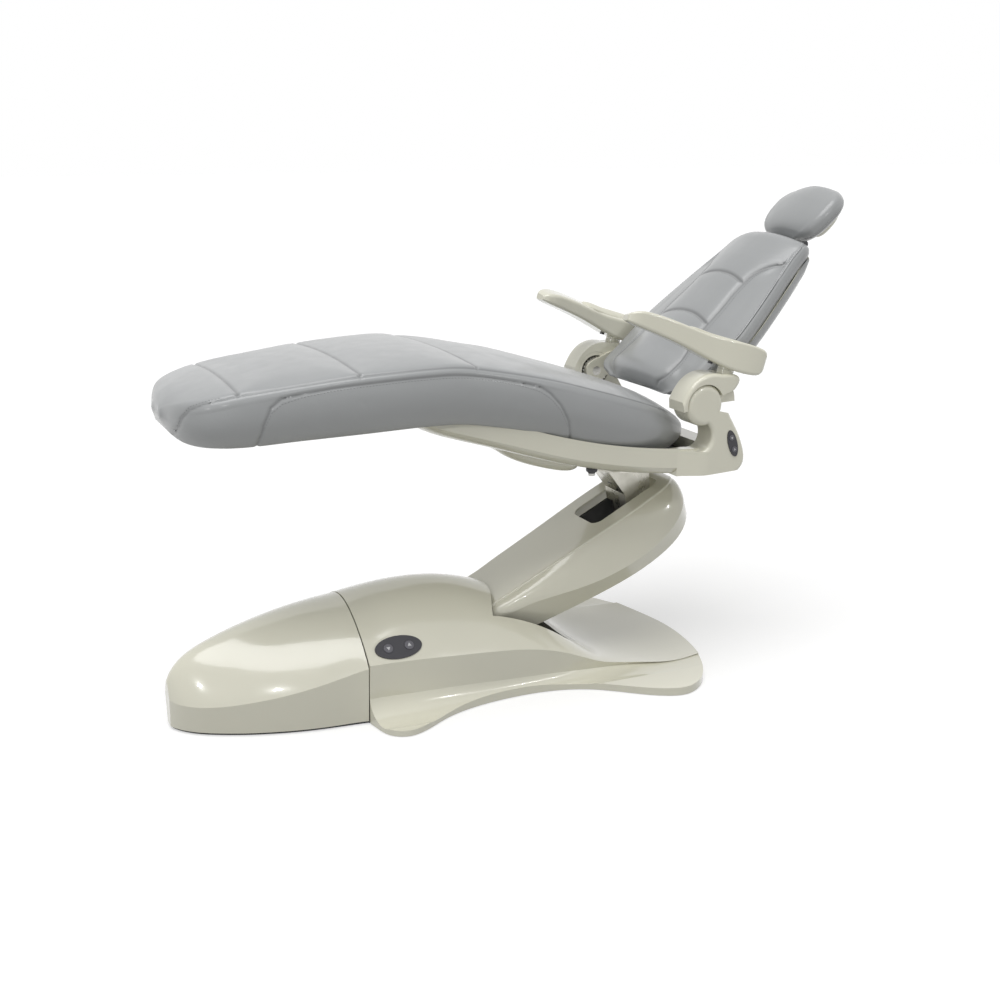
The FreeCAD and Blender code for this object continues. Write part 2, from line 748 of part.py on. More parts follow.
def link_pin():
    return cross_pin(LIFT_PIVOT + TIE_OFFSET, TIE_PIN_RADIUS, TIE_ROD_Y - 3.0, CHEEK_OUTER)


def lift_gearmotor():
    axis = Vector(TUBE_FRONT_X, 0, CRANK_PIN.z)
    gearbox = box(axis + Vector(-90, -44, -44), axis + Vector(0, 44, 104))
    gearbox = rounded(gearbox, 12.0, lambda edge: abs(edge.tangentAt(edge.FirstParameter).x) > 0.9)
    motor_axis = axis + Vector(0, 0, 66.0)
    motor = cylinder(motor_axis, motor_axis + Vector(135, 0, 0), 33.0)
    cap = cylinder(motor_axis + Vector(135, 0, 0), motor_axis + Vector(143, 0, 0), 24.0)
    return gearbox.fuse([motor, cap])


def actuator_tube():
    axis = Vector(0, 0, CRANK_PIN.z)
    start = axis + Vector(TUBE_FRONT_X, 0, 0)
    end = axis + Vector(TUBE_REAR_X, 0, 0)
    tube = cylinder(start, end, TUBE_RADIUS)
    collar = cylinder(end - Vector(22, 0, 0), end, TUBE_RADIUS + 5)
    bore = cylinder(start + Vector(10, 0, 0), end, RAM_RADIUS + PIN_GAP)
    return tube.fuse(collar).cut(bore)


def actuator_cradle():
    """Two ribbed saddles under the gear box and the tube, on one foot."""
    axis_z = CRANK_PIN.z
    under_box = box(
        Vector(TUBE_FRONT_X - 80, -40, PLATE_THICK), Vector(TUBE_FRONT_X - 10, 40, axis_z - 44),
    )
    foot = box(Vector(TUBE_FRONT_X - 80, -40, PLATE_THICK), Vector(-250, 40, PLATE_THICK + 6))
    post = box(Vector(-290, -30, PLATE_THICK), Vector(-262, 30, axis_z))
    bed = cylinder(Vector(-300, 0, axis_z), Vector(-240, 0, axis_z), TUBE_RADIUS)
    return under_box.fuse([foot, post]).cut(bed).removeSplitter()


def power_box():
    low = Vector(-400, 74, PLATE_THICK)
    return rounded(box(low, low + Vector(190, 78, 92)), 6.0, lambda edge: edge.BoundBox.ZMin > 90)


# Lift arm

def arm_local(u, w):
    return Vector(u, 0, w)


def lift_shaft():
    """Shaft that turns in the bracket, with the crank that the ram pushes."""
    shaft = cross_pin(LIFT_PIVOT, SHAFT_RADIUS, -ARM_PLATE_OUTER, ARM_PLATE_OUTER)
    outer = CRANK_INNER + CRANK_THICK
    for side in (-1, 1):
        low, high = sorted((side * CRANK_INNER, side * outer))
        shaft = shaft.fuse(eye_bar(LIFT_PIVOT, CRANK_PIN, 30.0, 16.0, low, high))
    return shaft.fuse(cross_pin(CRANK_PIN, CRANK_PIN_RADIUS, -outer, outer)).removeSplitter()


def lift_arm():
    plates = []
    for side in (-1, 1):
        low, high = sorted((side * ARM_PLATE_INNER, side * ARM_PLATE_OUTER))
        end = arm_local(ARM_LENGTH, 0)
        plate = eye_bar(ORIGIN, end, ARM_PLATE_HALF_DEPTH, ARM_PLATE_HALF_DEPTH - 4, low, high)
        window = eye_bar(arm_local(110, 0), arm_local(ARM_LENGTH - 150, 0), 17, 15, low, high)
        plates.append(plate.cut(window))
    arm = plates[0].fuse(plates[1])
    for u, w in ((78.0, 8.0), (ARM_LENGTH - 110.0, 8.0)):
        arm = arm.fuse(cross_pin(arm_local(u, w), 13.0, -ARM_PLATE_OUTER, ARM_PLATE_OUTER))
    arm = arm.cut(cross_pin(ORIGIN, SHAFT_RADIUS, -ARM_PLATE_OUTER, ARM_PLATE_OUTER))
    pin = cross_pin(arm_local(ARM_LENGTH, 0), CARRIER_PIN_RADIUS, -ARM_PLATE_OUTER, ARM_PLATE_OUTER)
    return pitched(arm.cut(pin).removeSplitter(), LIFT_PIVOT, ARM_ANGLE)


def carrier_pin():
    pin = cross_pin(ARM_END, CARRIER_PIN_RADIUS, -ARM_PLATE_OUTER, ARM_PLATE_OUTER)
    ends = []
    for side in (-1, 1):
        low, high = sorted((side * ARM_PLATE_OUTER, side * (ARM_PLATE_OUTER + 4)))
        ends.append(cross_pin(ARM_END, CARRIER_PIN_RADIUS + 5, low, high))
    return pin.fuse(ends)


def arm_cover_wire(u, ridge, top, flange, belly):
    def at(y, w):
        return Vector(u, y, w)

    flange_y, flange_w = flange
    belly_y, belly_w = belly
    soft = 5.0
    bulge = 5.0
    edges = []
    for sign in (1, -1):
        upper = at(sign * ((ridge + flange_y) / 2 + bulge), (top + flange_w) / 2 + bulge)
        edges.append([
            arc(
                at(sign * (ridge - soft), top),
                at(sign * (ridge - 0.2 * soft), top - 0.25 * soft),
                at(sign * ridge, top - soft),
            ),
            arc(at(sign * ridge, top - soft), upper, at(sign * flange_y, flange_w)),
            line(at(sign * flange_y, flange_w), at(sign * belly_y, belly_w)),
        ])
    crown = line(at(-ridge + soft, top), at(ridge - soft, top))
    floor = line(at(belly_y, belly_w), at(-belly_y, belly_w))
    return Part.Wire([crown] + edges[0] + [floor] + edges[1][::-1])


def arm_hollow_wire(u, ridge, top, flange, belly):
    low = -170.0
    half = []
    for sign in (1, -1):
        half.append([
            Vector(u, sign * (ridge - ARM_COVER_WALL), top - ARM_COVER_WALL),
            Vector(u, sign * (flange[0] - 1.4 * ARM_COVER_WALL), flange[1]),
            Vector(u, sign * (belly[0] - ARM_COVER_WALL), belly[1]),
            Vector(u, sign * (belly[0] - ARM_COVER_WALL), low),
        ])
    corners = half[0] + half[1][::-1]
    return Part.makePolygon(corners + corners[:1])


def arm_cover():
    """Moulded shell over the arm, open below, with a pocket in its top for the knuckle."""
    shell = loft([arm_cover_wire(*section) for section in ARM_SECTIONS])
    inner = []
    last = len(ARM_SECTIONS) - 1
    for index, section in enumerate(ARM_SECTIONS):
        shift = {0: ARM_COVER_WALL, last: -ARM_COVER_WALL}.get(index, 0.0)
        inner.append(arm_hollow_wire(section[0] + shift, *section[1:]))
    shell = shell.cut(loft(inner))
    pocket = box(
        Vector(ARM_POCKET_START, -ARM_POCKET_HALF_WIDTH, 0),
        Vector(ARM_POCKET_END, ARM_POCKET_HALF_WIDTH, 100),
    )
    pocket = rounded(pocket, ARM_POCKET_ROUND, lambda edge: edge.BoundBox.ZLength > 90)
    return pitched(shell.cut(pocket), LIFT_PIVOT, ARM_ANGLE)


def arm_saddles():
    """Two bridges on the arm's plates that the cover is screwed to."""
    saddles = []
    width = ARM_PLATE_OUTER
    for u in (130.0, 250.0):
        low = ARM_PLATE_HALF_DEPTH - 4 * u / ARM_LENGTH + SEAT_GAP
        high = ARM_TOP - ARM_COVER_WALL - 2 * SEAT_GAP
        saddles.append(box(Vector(u, -width, low), Vector(u + 26, width, high)))
    return pitched(Part.makeCompound(saddles), LIFT_PIVOT, ARM_ANGLE)


def lift_ram():
    head_half = CRANK_PIN_RADIUS + 12.0
    width = CRANK_INNER - 1.0
    low = CRANK_PIN + Vector(-head_half, -width, -head_half)
    high = CRANK_PIN + Vector(head_half, width, head_half)
    head = rounded(box(low, high), 6.0, lambda edge: abs(edge.tangentAt(edge.FirstParameter).y) > 0.9)
    half_slot = CRANK_PIN_RADIUS + RAM_HEAD_SLACK
    lift = Vector(0, 0, RAM_HEAD_LIFT)
    slot = box(
        CRANK_PIN + Vector(-half_slot, -width, -RAM_HEAD_LIFT),
        CRANK_PIN + Vector(half_slot, width, RAM_HEAD_LIFT),
    )
    for end in (CRANK_PIN + lift, CRANK_PIN - lift):
        slot = slot.fuse(cross_pin(end, half_slot, -width, width))
    front = CRANK_PIN + Vector(TUBE_REAR_X - CRANK_PIN.x - 160, 0, 0)
    rod = cylinder(front, CRANK_PIN - Vector(head_half - 2, 0, 0), RAM_RADIUS)
    return head.fuse(rod).cut(slot)


def tie_rod():
    low = LIFT_PIVOT + TIE_OFFSET
    high = ARM_END + TIE_OFFSET
    far = TIE_ROD_Y + TIE_ROD_THICK
    rod = eye_bar(low, high, TIE_ROD_DEPTH / 2, TIE_ROD_DEPTH / 2 - 0.01, TIE_ROD_Y, far)
    for end in (low, high):
        rod = rod.fuse(cross_pin(end, TIE_PIN_RADIUS + 7, TIE_ROD_Y, far))
        rod = rod.cut(cross_pin(end, TIE_PIN_RADIUS + PIN_GAP, TIE_ROD_Y, far))
    return rod.removeSplitter()


# Seat carrier and seat

def carrier():
    """Cast knuckle from the arm's end pin up to the swivel flange."""
    top = SEAT_ORIGIN - Vector(0, 0, FLANGE_THICK)
    inner = TIE_ROD_Y - 2.0
    tie = ARM_END + TIE_OFFSET
    lug = eye_bar(ARM_END, tie, 34.0, 20.0, -CARRIER_HALF_WIDTH, inner)
    neck = slab([
        ARM_END + Vector(34, 0, 0),
        ARM_END + Vector(30, 0, 60),
        top + Vector(58, 0, 0),
        top + Vector(-62, 0, 0),
        ARM_END + Vector(-44, 0, 60),
        ARM_END + Vector(-34, 0, 0),
    ], -CARRIER_HALF_WIDTH, CARRIER_HALF_WIDTH)
    neck = neck.cut(box(ARM_END + Vector(-90, inner, -40), ARM_END + Vector(90, 90, 26)))
    flange = cylinder(top, SEAT_ORIGIN, FLANGE_RADIUS)
    body = lug.fuse([neck, flange]).removeSplitter()
    body = body.cut(cross_pin(ARM_END, CARRIER_PIN_RADIUS + PIN_GAP, -90, 90))
    body = body.cut(cross_pin(tie, TIE_PIN_RADIUS, -10, inner))
    bore_end = SEAT_ORIGIN - Vector(0, 0, SPIGOT_DEPTH)
    return body.cut(cylinder(bore_end, SEAT_ORIGIN, SPIGOT_RADIUS + PIN_GAP))


def tie_rod_pin():
    far = TIE_ROD_Y + TIE_ROD_THICK + 3.0
    return cross_pin(ARM_END + TIE_OFFSET, TIE_PIN_RADIUS, -10, far)


def thrust_ring():
    top = SEAT_ORIGIN + Vector(0, 0, THRUST_RING_THICK)
    ring = cylinder(SEAT_ORIGIN, top, FLANGE_RADIUS - 6)
    return ring.cut(cylinder(SEAT_ORIGIN, top, SPIGOT_RADIUS + 4))


def seat_at(x, y, z):
    return SEAT_ORIGIN + Vector(x, y, z)


FRAME_LOW = THRUST_RING_THICK + SEAT_GAP
FRAME_PLATE_LOW = 44.0
FRAME_PLATE_HIGH = 52.0
FRAME_FRONT = -120.0
FRAME_REAR = 90.0
FRAME_HALF_WIDTH = 172.0


def seat_frame():
    """Steel plate on the swivel spigot, screwed to the pads in the pan."""
    spigot = cylinder(seat_at(0, 0, 1.0 - SPIGOT_DEPTH), seat_at(0, 0, FRAME_LOW), SPIGOT_RADIUS)
    boss = cylinder(seat_at(0, 0, FRAME_LOW), seat_at(0, 0, FRAME_PLATE_LOW), FLANGE_RADIUS - 8)
    plate = box(
        seat_at(FRAME_FRONT, -FRAME_HALF_WIDTH, FRAME_PLATE_LOW),
        seat_at(FRAME_REAR, FRAME_HALF_WIDTH, FRAME_PLATE_HIGH),
    )
    return spigot.fuse([boss, plate]).removeSplitter()


def pan_pads():
    pads = []
    for x in (FRAME_FRONT + 2, FRAME_REAR - 32):
        for y in (-FRAME_HALF_WIDTH + 4, FRAME_HALF_WIDTH - 54):
            pads.append(box(seat_at(x, y, 18.0), seat_at(x + 30, y + 50, FRAME_PLATE_LOW)))
    return pads


def pan_wire(x, rim, floor_width, floor, top, inset=0.0):
    def at(y, z):
        return seat_at(x, y, z)

    rim_y = rim - inset
    floor_y = floor_width - 0.7 * inset
    floor_z = floor + inset
    lift = 0.3 * (top - floor_z)
    edges = []
    for sign in (1, -1):
        edges.append([
            arc(
                at(sign * floor_y, floor_z),
                at(sign * (floor_y + 0.72 * (rim_y - floor_y)), floor_z + 0.35 * lift),
                at(sign * rim_y, floor_z + lift),
            ),
            line(at(sign * rim_y, floor_z + lift), at(sign * rim_y, top)),
        ])
    bottom = line(at(-floor_y, floor_z), at(floor_y, floor_z))
    lid = line(at(rim_y, top), at(-rim_y, top))
    return Part.Wire([bottom] + edges[0] + [lid] + edges[1][::-1])


def pan_form(inset=0.0, extra=0.0):
    wires = []
    for x, rim, floor_width, floor in PAN_SECTIONS:
        wires.append(pan_wire(x, rim, floor_width, floor, floor + PAN_RIM_ABOVE_FLOOR + extra, inset))
    return loft(wires)


def yoke():
    """Near yoke: neck that rises from the pan's rear corner to the round hub."""
    def at(x, z):
        return seat_at(x, 0, z)

    rear = [at(160, 24), at(172, 42), at(167, 84), at(152, 118), at(124, 166)]
    front = [at(36, 80), at(74, 96), at(78, 118), polar(HUB, HUB_RADIUS - 6, -118)]
    neck = slab([
        line(at(0, 18), rear[0]),
        curve(rear),
        line(rear[-1], polar(HUB, HUB_RADIUS - 6, NECK_TOP_ANGLE - 8)),
        line(polar(HUB, HUB_RADIUS - 6, NECK_TOP_ANGLE - 8), front[-1]),
        curve(front),
        line(front[0], at(0, 80)),
        line(at(0, 80), at(0, 18)),
    ], -YOKE_OUTER, -YOKE_INNER)
    neck = rounded(neck, YOKE_ROUND, lambda edge: (
        edge.BoundBox.YMax < 0.01 - YOKE_OUTER and edge.BoundBox.ZLength > 60
        and edge.BoundBox.XLength > 30 and edge.BoundBox.XMin > SEAT_ORIGIN.x + 20
    ))
    hub = cross_pin(HUB, HUB_RADIUS, -YOKE_OUTER, -YOKE_INNER)
    hub = rounded(hub, HUB_ROUND, lambda edge: edge.BoundBox.YMax < 0.01 - YOKE_OUTER)
    slot = ring_sector(
        HUB_RADIUS + RUN_GAP / 2, EAR_RADIUS + 2, NECK_TOP_ANGLE - BACK_RECLINES, 20,
        RUN_GAP + EAR_MARGIN - YOKE_OUTER - 2 * RUN_GAP, 2 * RUN_GAP - YOKE_INNER - EAR_MARGIN - RUN_GAP,
    )
    gear_room = cross_pin(HUB, GEAR_RADIUS + 3, -YOKE_INNER - GEAR_THICK - 1, -YOKE_INNER)
    return neck.cut(slot).cut(foot_blend()).fuse(hub).cut(gear_room)


def foot_blend():
    """Waste outside the yoke's foot, so that it runs out flush with the side of the pan."""
    def at(x, y):
        return seat_at(x, -y, 0)

    outside = YOKE_OUTER + 40
    points = [at(-12, PAN_SECTIONS[-2][1] - 6), at(16, 271), at(46, 289), at(74, YOKE_OUTER)]
    edges = [curve(points), line(points[-1], at(74, outside)), line(at(74, outside), at(-12, outside))]
    edges.append(line(at(-12, outside), points[0]))
    return Part.Face(Part.Wire(edges)).extrude(Vector(0, 0, 120))


def ring_sector(inner, outer, from_angle, to_angle, y_from, y_to):
    """Sector of a ring about the hub axis, between two angles in degrees."""
    middle = (from_angle + to_angle) / 2
    edges = [
        arc(polar(HUB, inner, from_angle), polar(HUB, inner, middle), polar(HUB, inner, to_angle)),
        line(polar(HUB, inner, to_angle), polar(HUB, outer, to_angle)),
        arc(polar(HUB, outer, to_angle), polar(HUB, outer, middle), polar(HUB, outer, from_angle)),
        line(polar(HUB, outer, from_angle), polar(HUB, inner, from_angle)),
    ]
    return slab(edges, y_from, y_to)


def seat_pan():
    """Cast pan under the cushion, one piece with both yokes."""
    near = yoke()
    hollow = pan_form(PAN_WALL, 60.0)
    hollow = hollow.common(box(seat_at(-560, -400, 0), seat_at(FRAME_REAR + 6, 400, 400)))
    pan = pan_form().cut(hollow)
    pan = pan.fuse(pan_pads() + [near, mirrored(near)])
    room = cushion(SEAT_SECTIONS, SEAT_CROWN, SEAT_CORNER, SEAT_TUCK, SEAT_GAP)
    room.translate(SEAT_ORIGIN)
    pan = pan.cut(room)
    pan = pan.cut(cylinder(seat_at(0, 0, -20), seat_at(0, 0, 60), PAN_SWIVEL_HOLE))
    stud = seat_at(*BRAKE_PIVOT, 0)
    pan = pan.cut(cylinder(stud, stud + Vector(0, 0, 60), BRAKE_PIN_RADIUS + 2))
    for side in (-1, 1):
        low, high = sorted((side * (YOKE_INNER - 20), side * (YOKE_OUTER - HUB_FACE)))
        pan = pan.cut(cross_pin(HUB, HUB_PIN_RADIUS, low, high))
    pocket = at_place(pad_pocket(YOKE_PAD_HALF_LENGTH, YOKE_PAD_HALF_WIDTH), yoke_pad_place())
    return pan.cut(pocket).removeSplitter()


def seat_cushion():
    shape = sewn_cushion(SEAT_SECTIONS, SEAT_SEAMS, SEAT_CROWN, SEAT_CORNER, SEAT_TUCK)
    shape.translate(SEAT_ORIGIN)
    return shape


def hub_pin():
    """Near pin, pressed into the yoke, that the back link turns on."""
    return cross_pin(HUB, HUB_PIN_RADIUS, HUB_FACE + 1 - YOKE_OUTER, LINK_PLATE_THICK + RUN_GAP - YOKE_INNER)


UNDER_SECTIONS = [
    (-400.0, 110.0, 96.0),
    (-380.0, 150.0, 76.0),
    (-330.0, 170.0, 56.0),
    (-280.0, 178.0, 42.0),
    (-235.0, 176.0, 33.0),
    (-205.0, 160.0, 34.0),
]


def under_cover():
    """Dished cover screwed below the pan, in front of the swivel."""
    wires = []
    inner = []
    for x, half_width, low in UNDER_SECTIONS:
        for target, inset, lift in ((wires, 0.0, 0.0), (inner, 4.0, 4.0)):
            width = half_width - inset
            side = seat_at(x, width, low + 24)
            target.append(Part.Wire([
                line(seat_at(x, width - 40, low + lift), seat_at(x, 40 - width, low + lift)),
                arc(
                    seat_at(x, 40 - width, low + lift),
                    seat_at(x, 10 - width, low + lift + 6),
                    seat_at(x, -width, low + 24),
                ),
                line(seat_at(x, -width, low + 24), seat_at(x, -width, low + 80)),
                line(seat_at(x, -width, low + 80), seat_at(x, width, low + 80)),
                line(seat_at(x, width, low + 80), side),
                arc(side, seat_at(x, width - 10, low + lift + 6), seat_at(x, width - 40, low + lift)),
            ]))
    room = box(seat_at(-388, -400, 0), seat_at(-209, 400, 400))
    shell = loft(wires).cut(loft(inner).common(room))
    below = pan_form()
    below.translate(Vector(0, 0, -SEAT_GAP))
    above = below.copy()
    above.translate(Vector(0, 0, 40))
    return shell.cut(below.fuse(above))


def seat_control_box():
    low = seat_at(FRAME_FRONT + 12, -95, FRAME_PLATE_HIGH)
    return box(low, low + Vector(62, 190, 17))


BRAKE_PIVOT = (-112.0, -60.0)
BRAKE_END = (-168.0, -152.0)
BRAKE_LOW = 13.0
BRAKE_THICK = 6.0
BRAKE_PIN_RADIUS = 6.0


def brake_pin():
    """Stud below the seat frame that the brake lever turns on, with a head below the lever."""
    place = seat_at(*BRAKE_PIVOT, 0)
    low = place + Vector(0, 0, BRAKE_LOW - RUN_GAP)
    stud = cylinder(low, place + Vector(0, 0, FRAME_PLATE_LOW), BRAKE_PIN_RADIUS)
    return stud.fuse(cylinder(low - Vector(0, 0, 4), low, BRAKE_PIN_RADIUS + 4))


def brake_lever():
    start = seat_at(*BRAKE_PIVOT, BRAKE_LOW)
    end = seat_at(*BRAKE_END, BRAKE_LOW)
    up = Vector(0, 0, BRAKE_THICK)
    along = (end - start).normalize()
    across = Vector(-along.y, along.x, 0) * 8.0
    corners = [start + across, end + across, end - across, start - across]
    bar = Part.Face(Part.makePolygon(corners + corners[:1])).extrude(up)
    bar = bar.fuse([cylinder(start, start + up, 14.0), cylinder(end, end + up, 8.0)]).removeSplitter()
    return bar.cut(cylinder(start, start + up, BRAKE_PIN_RADIUS + PIN_GAP))


def brake_knob():
    end = seat_at(*BRAKE_END, BRAKE_LOW + BRAKE_THICK)
    stem = cylinder(end, end + Vector(0, 0, 3), 9.0)
    head = cylinder(end + Vector(0, 0, 3), end + Vector(0, 0, 15), 14.0)
    return stem.fuse(rounded(head, 4.0, lambda edge: edge.BoundBox.DiagonalLength > 20))


# Back

def back_place(shape):
    """Shape drawn flat, along the back and from the hub, stood up at the back's angle."""
    return pitched(shape, HUB, BACK_ANGLE)


def recliner_gear():
    """Near toothed disc on the link, inside the hub."""
    points = []
    for tooth in range(GEAR_TEETH):
        step = 360.0 / GEAR_TEETH
        for part, radius in ((0.0, -4.0), (0.3, -4.0), (0.45, 0.0), (0.75, 0.0)):
            points.append(polar(HUB, GEAR_RADIUS + radius, step * (tooth + part)))
    disc = slab(points, -YOKE_INNER - GEAR_THICK, RUN_GAP - YOKE_INNER)
    bore = HUB_PIN_RADIUS + PIN_GAP
    return disc.cut(cross_pin(HUB, bore, -YOKE_OUTER, 0))


LINK_FLANGE_FROM = 72.0
LINK_FLANGE_TO = 152.0
LINK_FLANGE_INNER = 140.0
LINK_FLANGE_OUTER = 200.0
LINK_STRAP_TO = 104.0
LINK_FLANGE_THICK = 6.0
BACK_REAR = min(low for u, half_width, low, edge in BACK_SECTIONS)
BACK_FRAME_TOP = BACK_REAR - SEAT_GAP
BACK_FRAME_LOW = BACK_FRAME_TOP - BACK_FRAME_THICK


def armrest_frame(side):
    """Place of an armrest: post top, forwards along its own x, tilted up and toed in."""
    outward = -side
    turn = FreeCAD.Rotation(Vector(0, 0, 1), 180.0)
    toe = FreeCAD.Rotation(Vector(0, 0, 1), outward * -ARMREST_TOE_IN)
    tilt = FreeCAD.Rotation(Y_AXIS, ARMREST_TILT)
    middle = (YOKE_OUTER + YOKE_INNER) / 2
    origin = HUB + Vector(POST_X, side * middle, POST_Z)
    return FreeCAD.Placement(origin, tilt.multiply(turn).multiply(toe))


def back_link():
    """Near link: block that caps the hub and carries the armrest post, with a plate to the back."""
    outer = [
        polar(HUB, HUB_RADIUS + RUN_GAP, 25),
        HUB + Vector(86, 0, 34),
        HUB + Vector(96, 0, 52),
        HUB + Vector(46, 0, 71),
        HUB + Vector(-4, 0, 71),
        HUB + Vector(-62, 0, 12),
        polar(HUB, HUB_RADIUS + RUN_GAP + 11, 190),
        polar(HUB, HUB_RADIUS + RUN_GAP, 190),
    ]
    block = slab([
        line(outer[0], outer[1]),
        curve(outer[1:4]),
        curve(outer[3:6]),
        line(outer[5], outer[6]),
        line(outer[6], outer[7]),
        arc(outer[7], polar(HUB, HUB_RADIUS + RUN_GAP, 100), outer[0]),
    ], -YOKE_OUTER, RUN_GAP - YOKE_INNER)
    block = rounded(block, YOKE_ROUND, lambda edge: (
        edge.BoundBox.YMax < 0.01 - YOKE_OUTER and edge.BoundBox.ZMax > HUB.z + 70
    ))
    ear = ring_sector(
        HUB_RADIUS + RUN_GAP, EAR_RADIUS, 2, 30,
        EAR_MARGIN - YOKE_OUTER, -YOKE_INNER - EAR_MARGIN,
    )
    plate_from = RUN_GAP - YOKE_INNER
    plate_to = plate_from + LINK_PLATE_THICK
    low = BACK_FRAME_LOW - LINK_FLANGE_THICK
    eye = cross_pin(ORIGIN, 30.0, plate_from, plate_to)
    strap = slab([
        Vector(-8, 0, -28),
        Vector(14, 0, 27),
        Vector(66, 0, 8),
        Vector(LINK_STRAP_TO, 0, BACK_FRAME_LOW),
        Vector(LINK_STRAP_TO, 0, low),
        Vector(LINK_FLANGE_FROM - 14, 0, low),
    ], plate_from, plate_to)
    flange = box(
        Vector(LINK_FLANGE_FROM, plate_from, low),
        Vector(LINK_STRAP_TO, -LINK_FLANGE_INNER, BACK_FRAME_LOW),
    ).fuse(box(
        Vector(LINK_FLANGE_FROM, -LINK_FLANGE_OUTER, low),
        Vector(LINK_FLANGE_TO, -LINK_FLANGE_INNER, BACK_FRAME_LOW),
    ))
    for place in link_bolt_places():
        flange = flange.cut(cylinder(place, place + Vector(0, 0, 30), LINK_BOLT_RADIUS))
    plate = back_place(eye.fuse([strap, flange]).removeSplitter())
    post = Part.makeCylinder(POST_RADIUS, POST_DEPTH, Vector(0, 0, -POST_DEPTH - RUN_GAP))
    pin = Part.makeCylinder(POST_PIN_RADIUS, POST_PIN_HEIGHT + POST_DEPTH, Vector(0, 0, -POST_DEPTH))
    post = at_place(post.fuse(pin), armrest_frame(-1))
    body = block.fuse([ear, plate, post]).removeSplitter()
    return body.cut(cross_pin(HUB, HUB_PIN_RADIUS + PIN_GAP, plate_from, 0))


LINK_BOLT_RADIUS = 4.0


def link_bolt_places():
    """Near bolt places in the back's own frame, just below the link's flange."""
    for u in (92.0, 132.0):
        for y in (-188.0, -158.0):
            yield Vector(u, y, BACK_FRAME_LOW - LINK_FLANGE_THICK)


def link_bolts():
    bolts = []
    for place in link_bolt_places():
        top = Vector(place.x, place.y, BACK_FRAME_TOP)
        shank = cylinder(place, top, LINK_BOLT_RADIUS)
        head = cylinder(place - Vector(0, 0, 5), place, LINK_BOLT_RADIUS + 3)
        bolts.append(back_place(shank.fuse(head)))
    return Part.makeCompound(bolts + [mirrored(bolt) for bolt in bolts])


def section_face(sections, inset, n, u_from, u_to):
    """Flat plate outline inside a cushion's outline at one height, between two stations."""
    points = []
    for u, half_width, low, edge in sections:
        if u_from <= u <= u_to:
            points.append(Vector(u, half_width - inset, n))
    points.insert(0, Vector(u_from, points[0].y, n))
    points.append(Vector(u_to, points[-1].y, n))
    corners = points + [Vector(p.x, -p.y, p.z) for p in reversed(points)]
    return Part.Face(Part.makePolygon(corners + corners[:1]))


def back_frame():
    plate = section_face(BACK_SECTIONS, BACK_FRAME_INSET, BACK_FRAME_LOW, 64.0, 500.0)
    plate = plate.extrude(Vector(0, 0, BACK_FRAME_THICK))
    for y in (-1, 1):
        low, high = sorted((y * 48.0, y * 128.0))
        window = box(Vector(180, low, -60), Vector(360, high, 0))
        window = rounded(window, 20.0, lambda edge: edge.BoundBox.ZLength > 30)
        plate = plate.cut(window)
    for place in link_bolt_places():
        for y in (place.y, -place.y):
            foot = Vector(place.x, y, BACK_FRAME_LOW)
            plate = plate.cut(cylinder(foot, foot + Vector(0, 0, 10), LINK_BOLT_RADIUS + PIN_GAP))
    return back_place(plate)


def back_cushion():
    shape = sewn_cushion(BACK_SECTIONS, BACK_SEAMS, BACK_CROWN, BACK_CORNER, BACK_TUCK)
    flat = box(Vector(-100, -400, BACK_REAR - 100), Vector(800, 400, BACK_REAR))
    return back_place(shape.cut(flat))


SHELL_RIM = BACK_FRAME_TOP


def shell_wire(u, half_width, rim, depth, inset):
    width = half_width - inset
    floor = rim - depth + inset
    shrink = min(0.3 * width, depth)

    def at(y, n):
        return Vector(u, y, n)

    return Part.Wire([
        line(at(-width, rim + inset), at(width, rim + inset)),
        line(at(width, rim + inset), at(width, rim)),
        arc(at(width, rim), at(width - 0.3 * shrink, floor + 0.3 * (rim - floor)), at(width - shrink, floor)),
        line(at(width - shrink, floor), at(shrink - width, floor)),
        arc(at(shrink - width, floor), at(0.3 * shrink - width, floor + 0.3 * (rim - floor)), at(-width, rim)),
        line(at(-width, rim), at(-width, rim + inset)),
    ])


def back_shell():
    """Moulded rear cover of the back, with openings for the link flanges and the headrest bar."""
    outer = []
    inner = []
    stations = [BACK_SHELL_START] + [(u, w) for u, w, low, edge in BACK_SECTIONS if 50.0 < u < 515.0]
    last = len(stations) - 1
    for index, (u, half_width) in enumerate(stations):
        depth = BACK_SHELL_DEPTH * (0.45 if index in (0, last) else 1.0)
        edge = half_width - BACK_SHELL_INSET
        outer.append(shell_wire(u, edge, SHELL_RIM, depth, 0.01))
        shift = {0: BACK_SHELL_WALL, last: -BACK_SHELL_WALL}.get(index, 0.0)
        inner.append(shell_wire(u + shift, edge, SHELL_RIM, depth, BACK_SHELL_WALL))
    shell = loft(outer).cut(loft(inner))
    shell = shell.cut(box(
        Vector(LINK_FLANGE_FROM - 1, -300, BACK_FRAME_LOW - LINK_FLANGE_THICK - 1),
        Vector(LINK_FLANGE_TO + 1, 300, 10),
    ))
    for place in link_bolt_places():
        for y in (place.y, -place.y):
            foot = Vector(place.x, y, place.z)
            shell = shell.cut(cylinder(foot - Vector(0, 0, 30), foot, LINK_BOLT_RADIUS + 5))
    half = BAR_WIDTH / 2 + GUIDE_WALL + 2
    shell = shell.cut(box(Vector(440, -half, BAR_FACE - BAR_THICK - 8), Vector(560, half, 10)))
    shell = shell.cut(box(Vector(0, -300, SHELL_RIM), Vector(600, 300, 40)))
    plate = section_face(BACK_SECTIONS, BACK_FRAME_INSET - SEAT_GAP, 0.0, 64.0 - SEAT_GAP, 500.0 + SEAT_GAP)
    plate.translate(Vector(0, 0, BACK_FRAME_LOW - SEAT_GAP))
    return back_place(shell.cut(plate.extrude(Vector(0, 0, 20))))


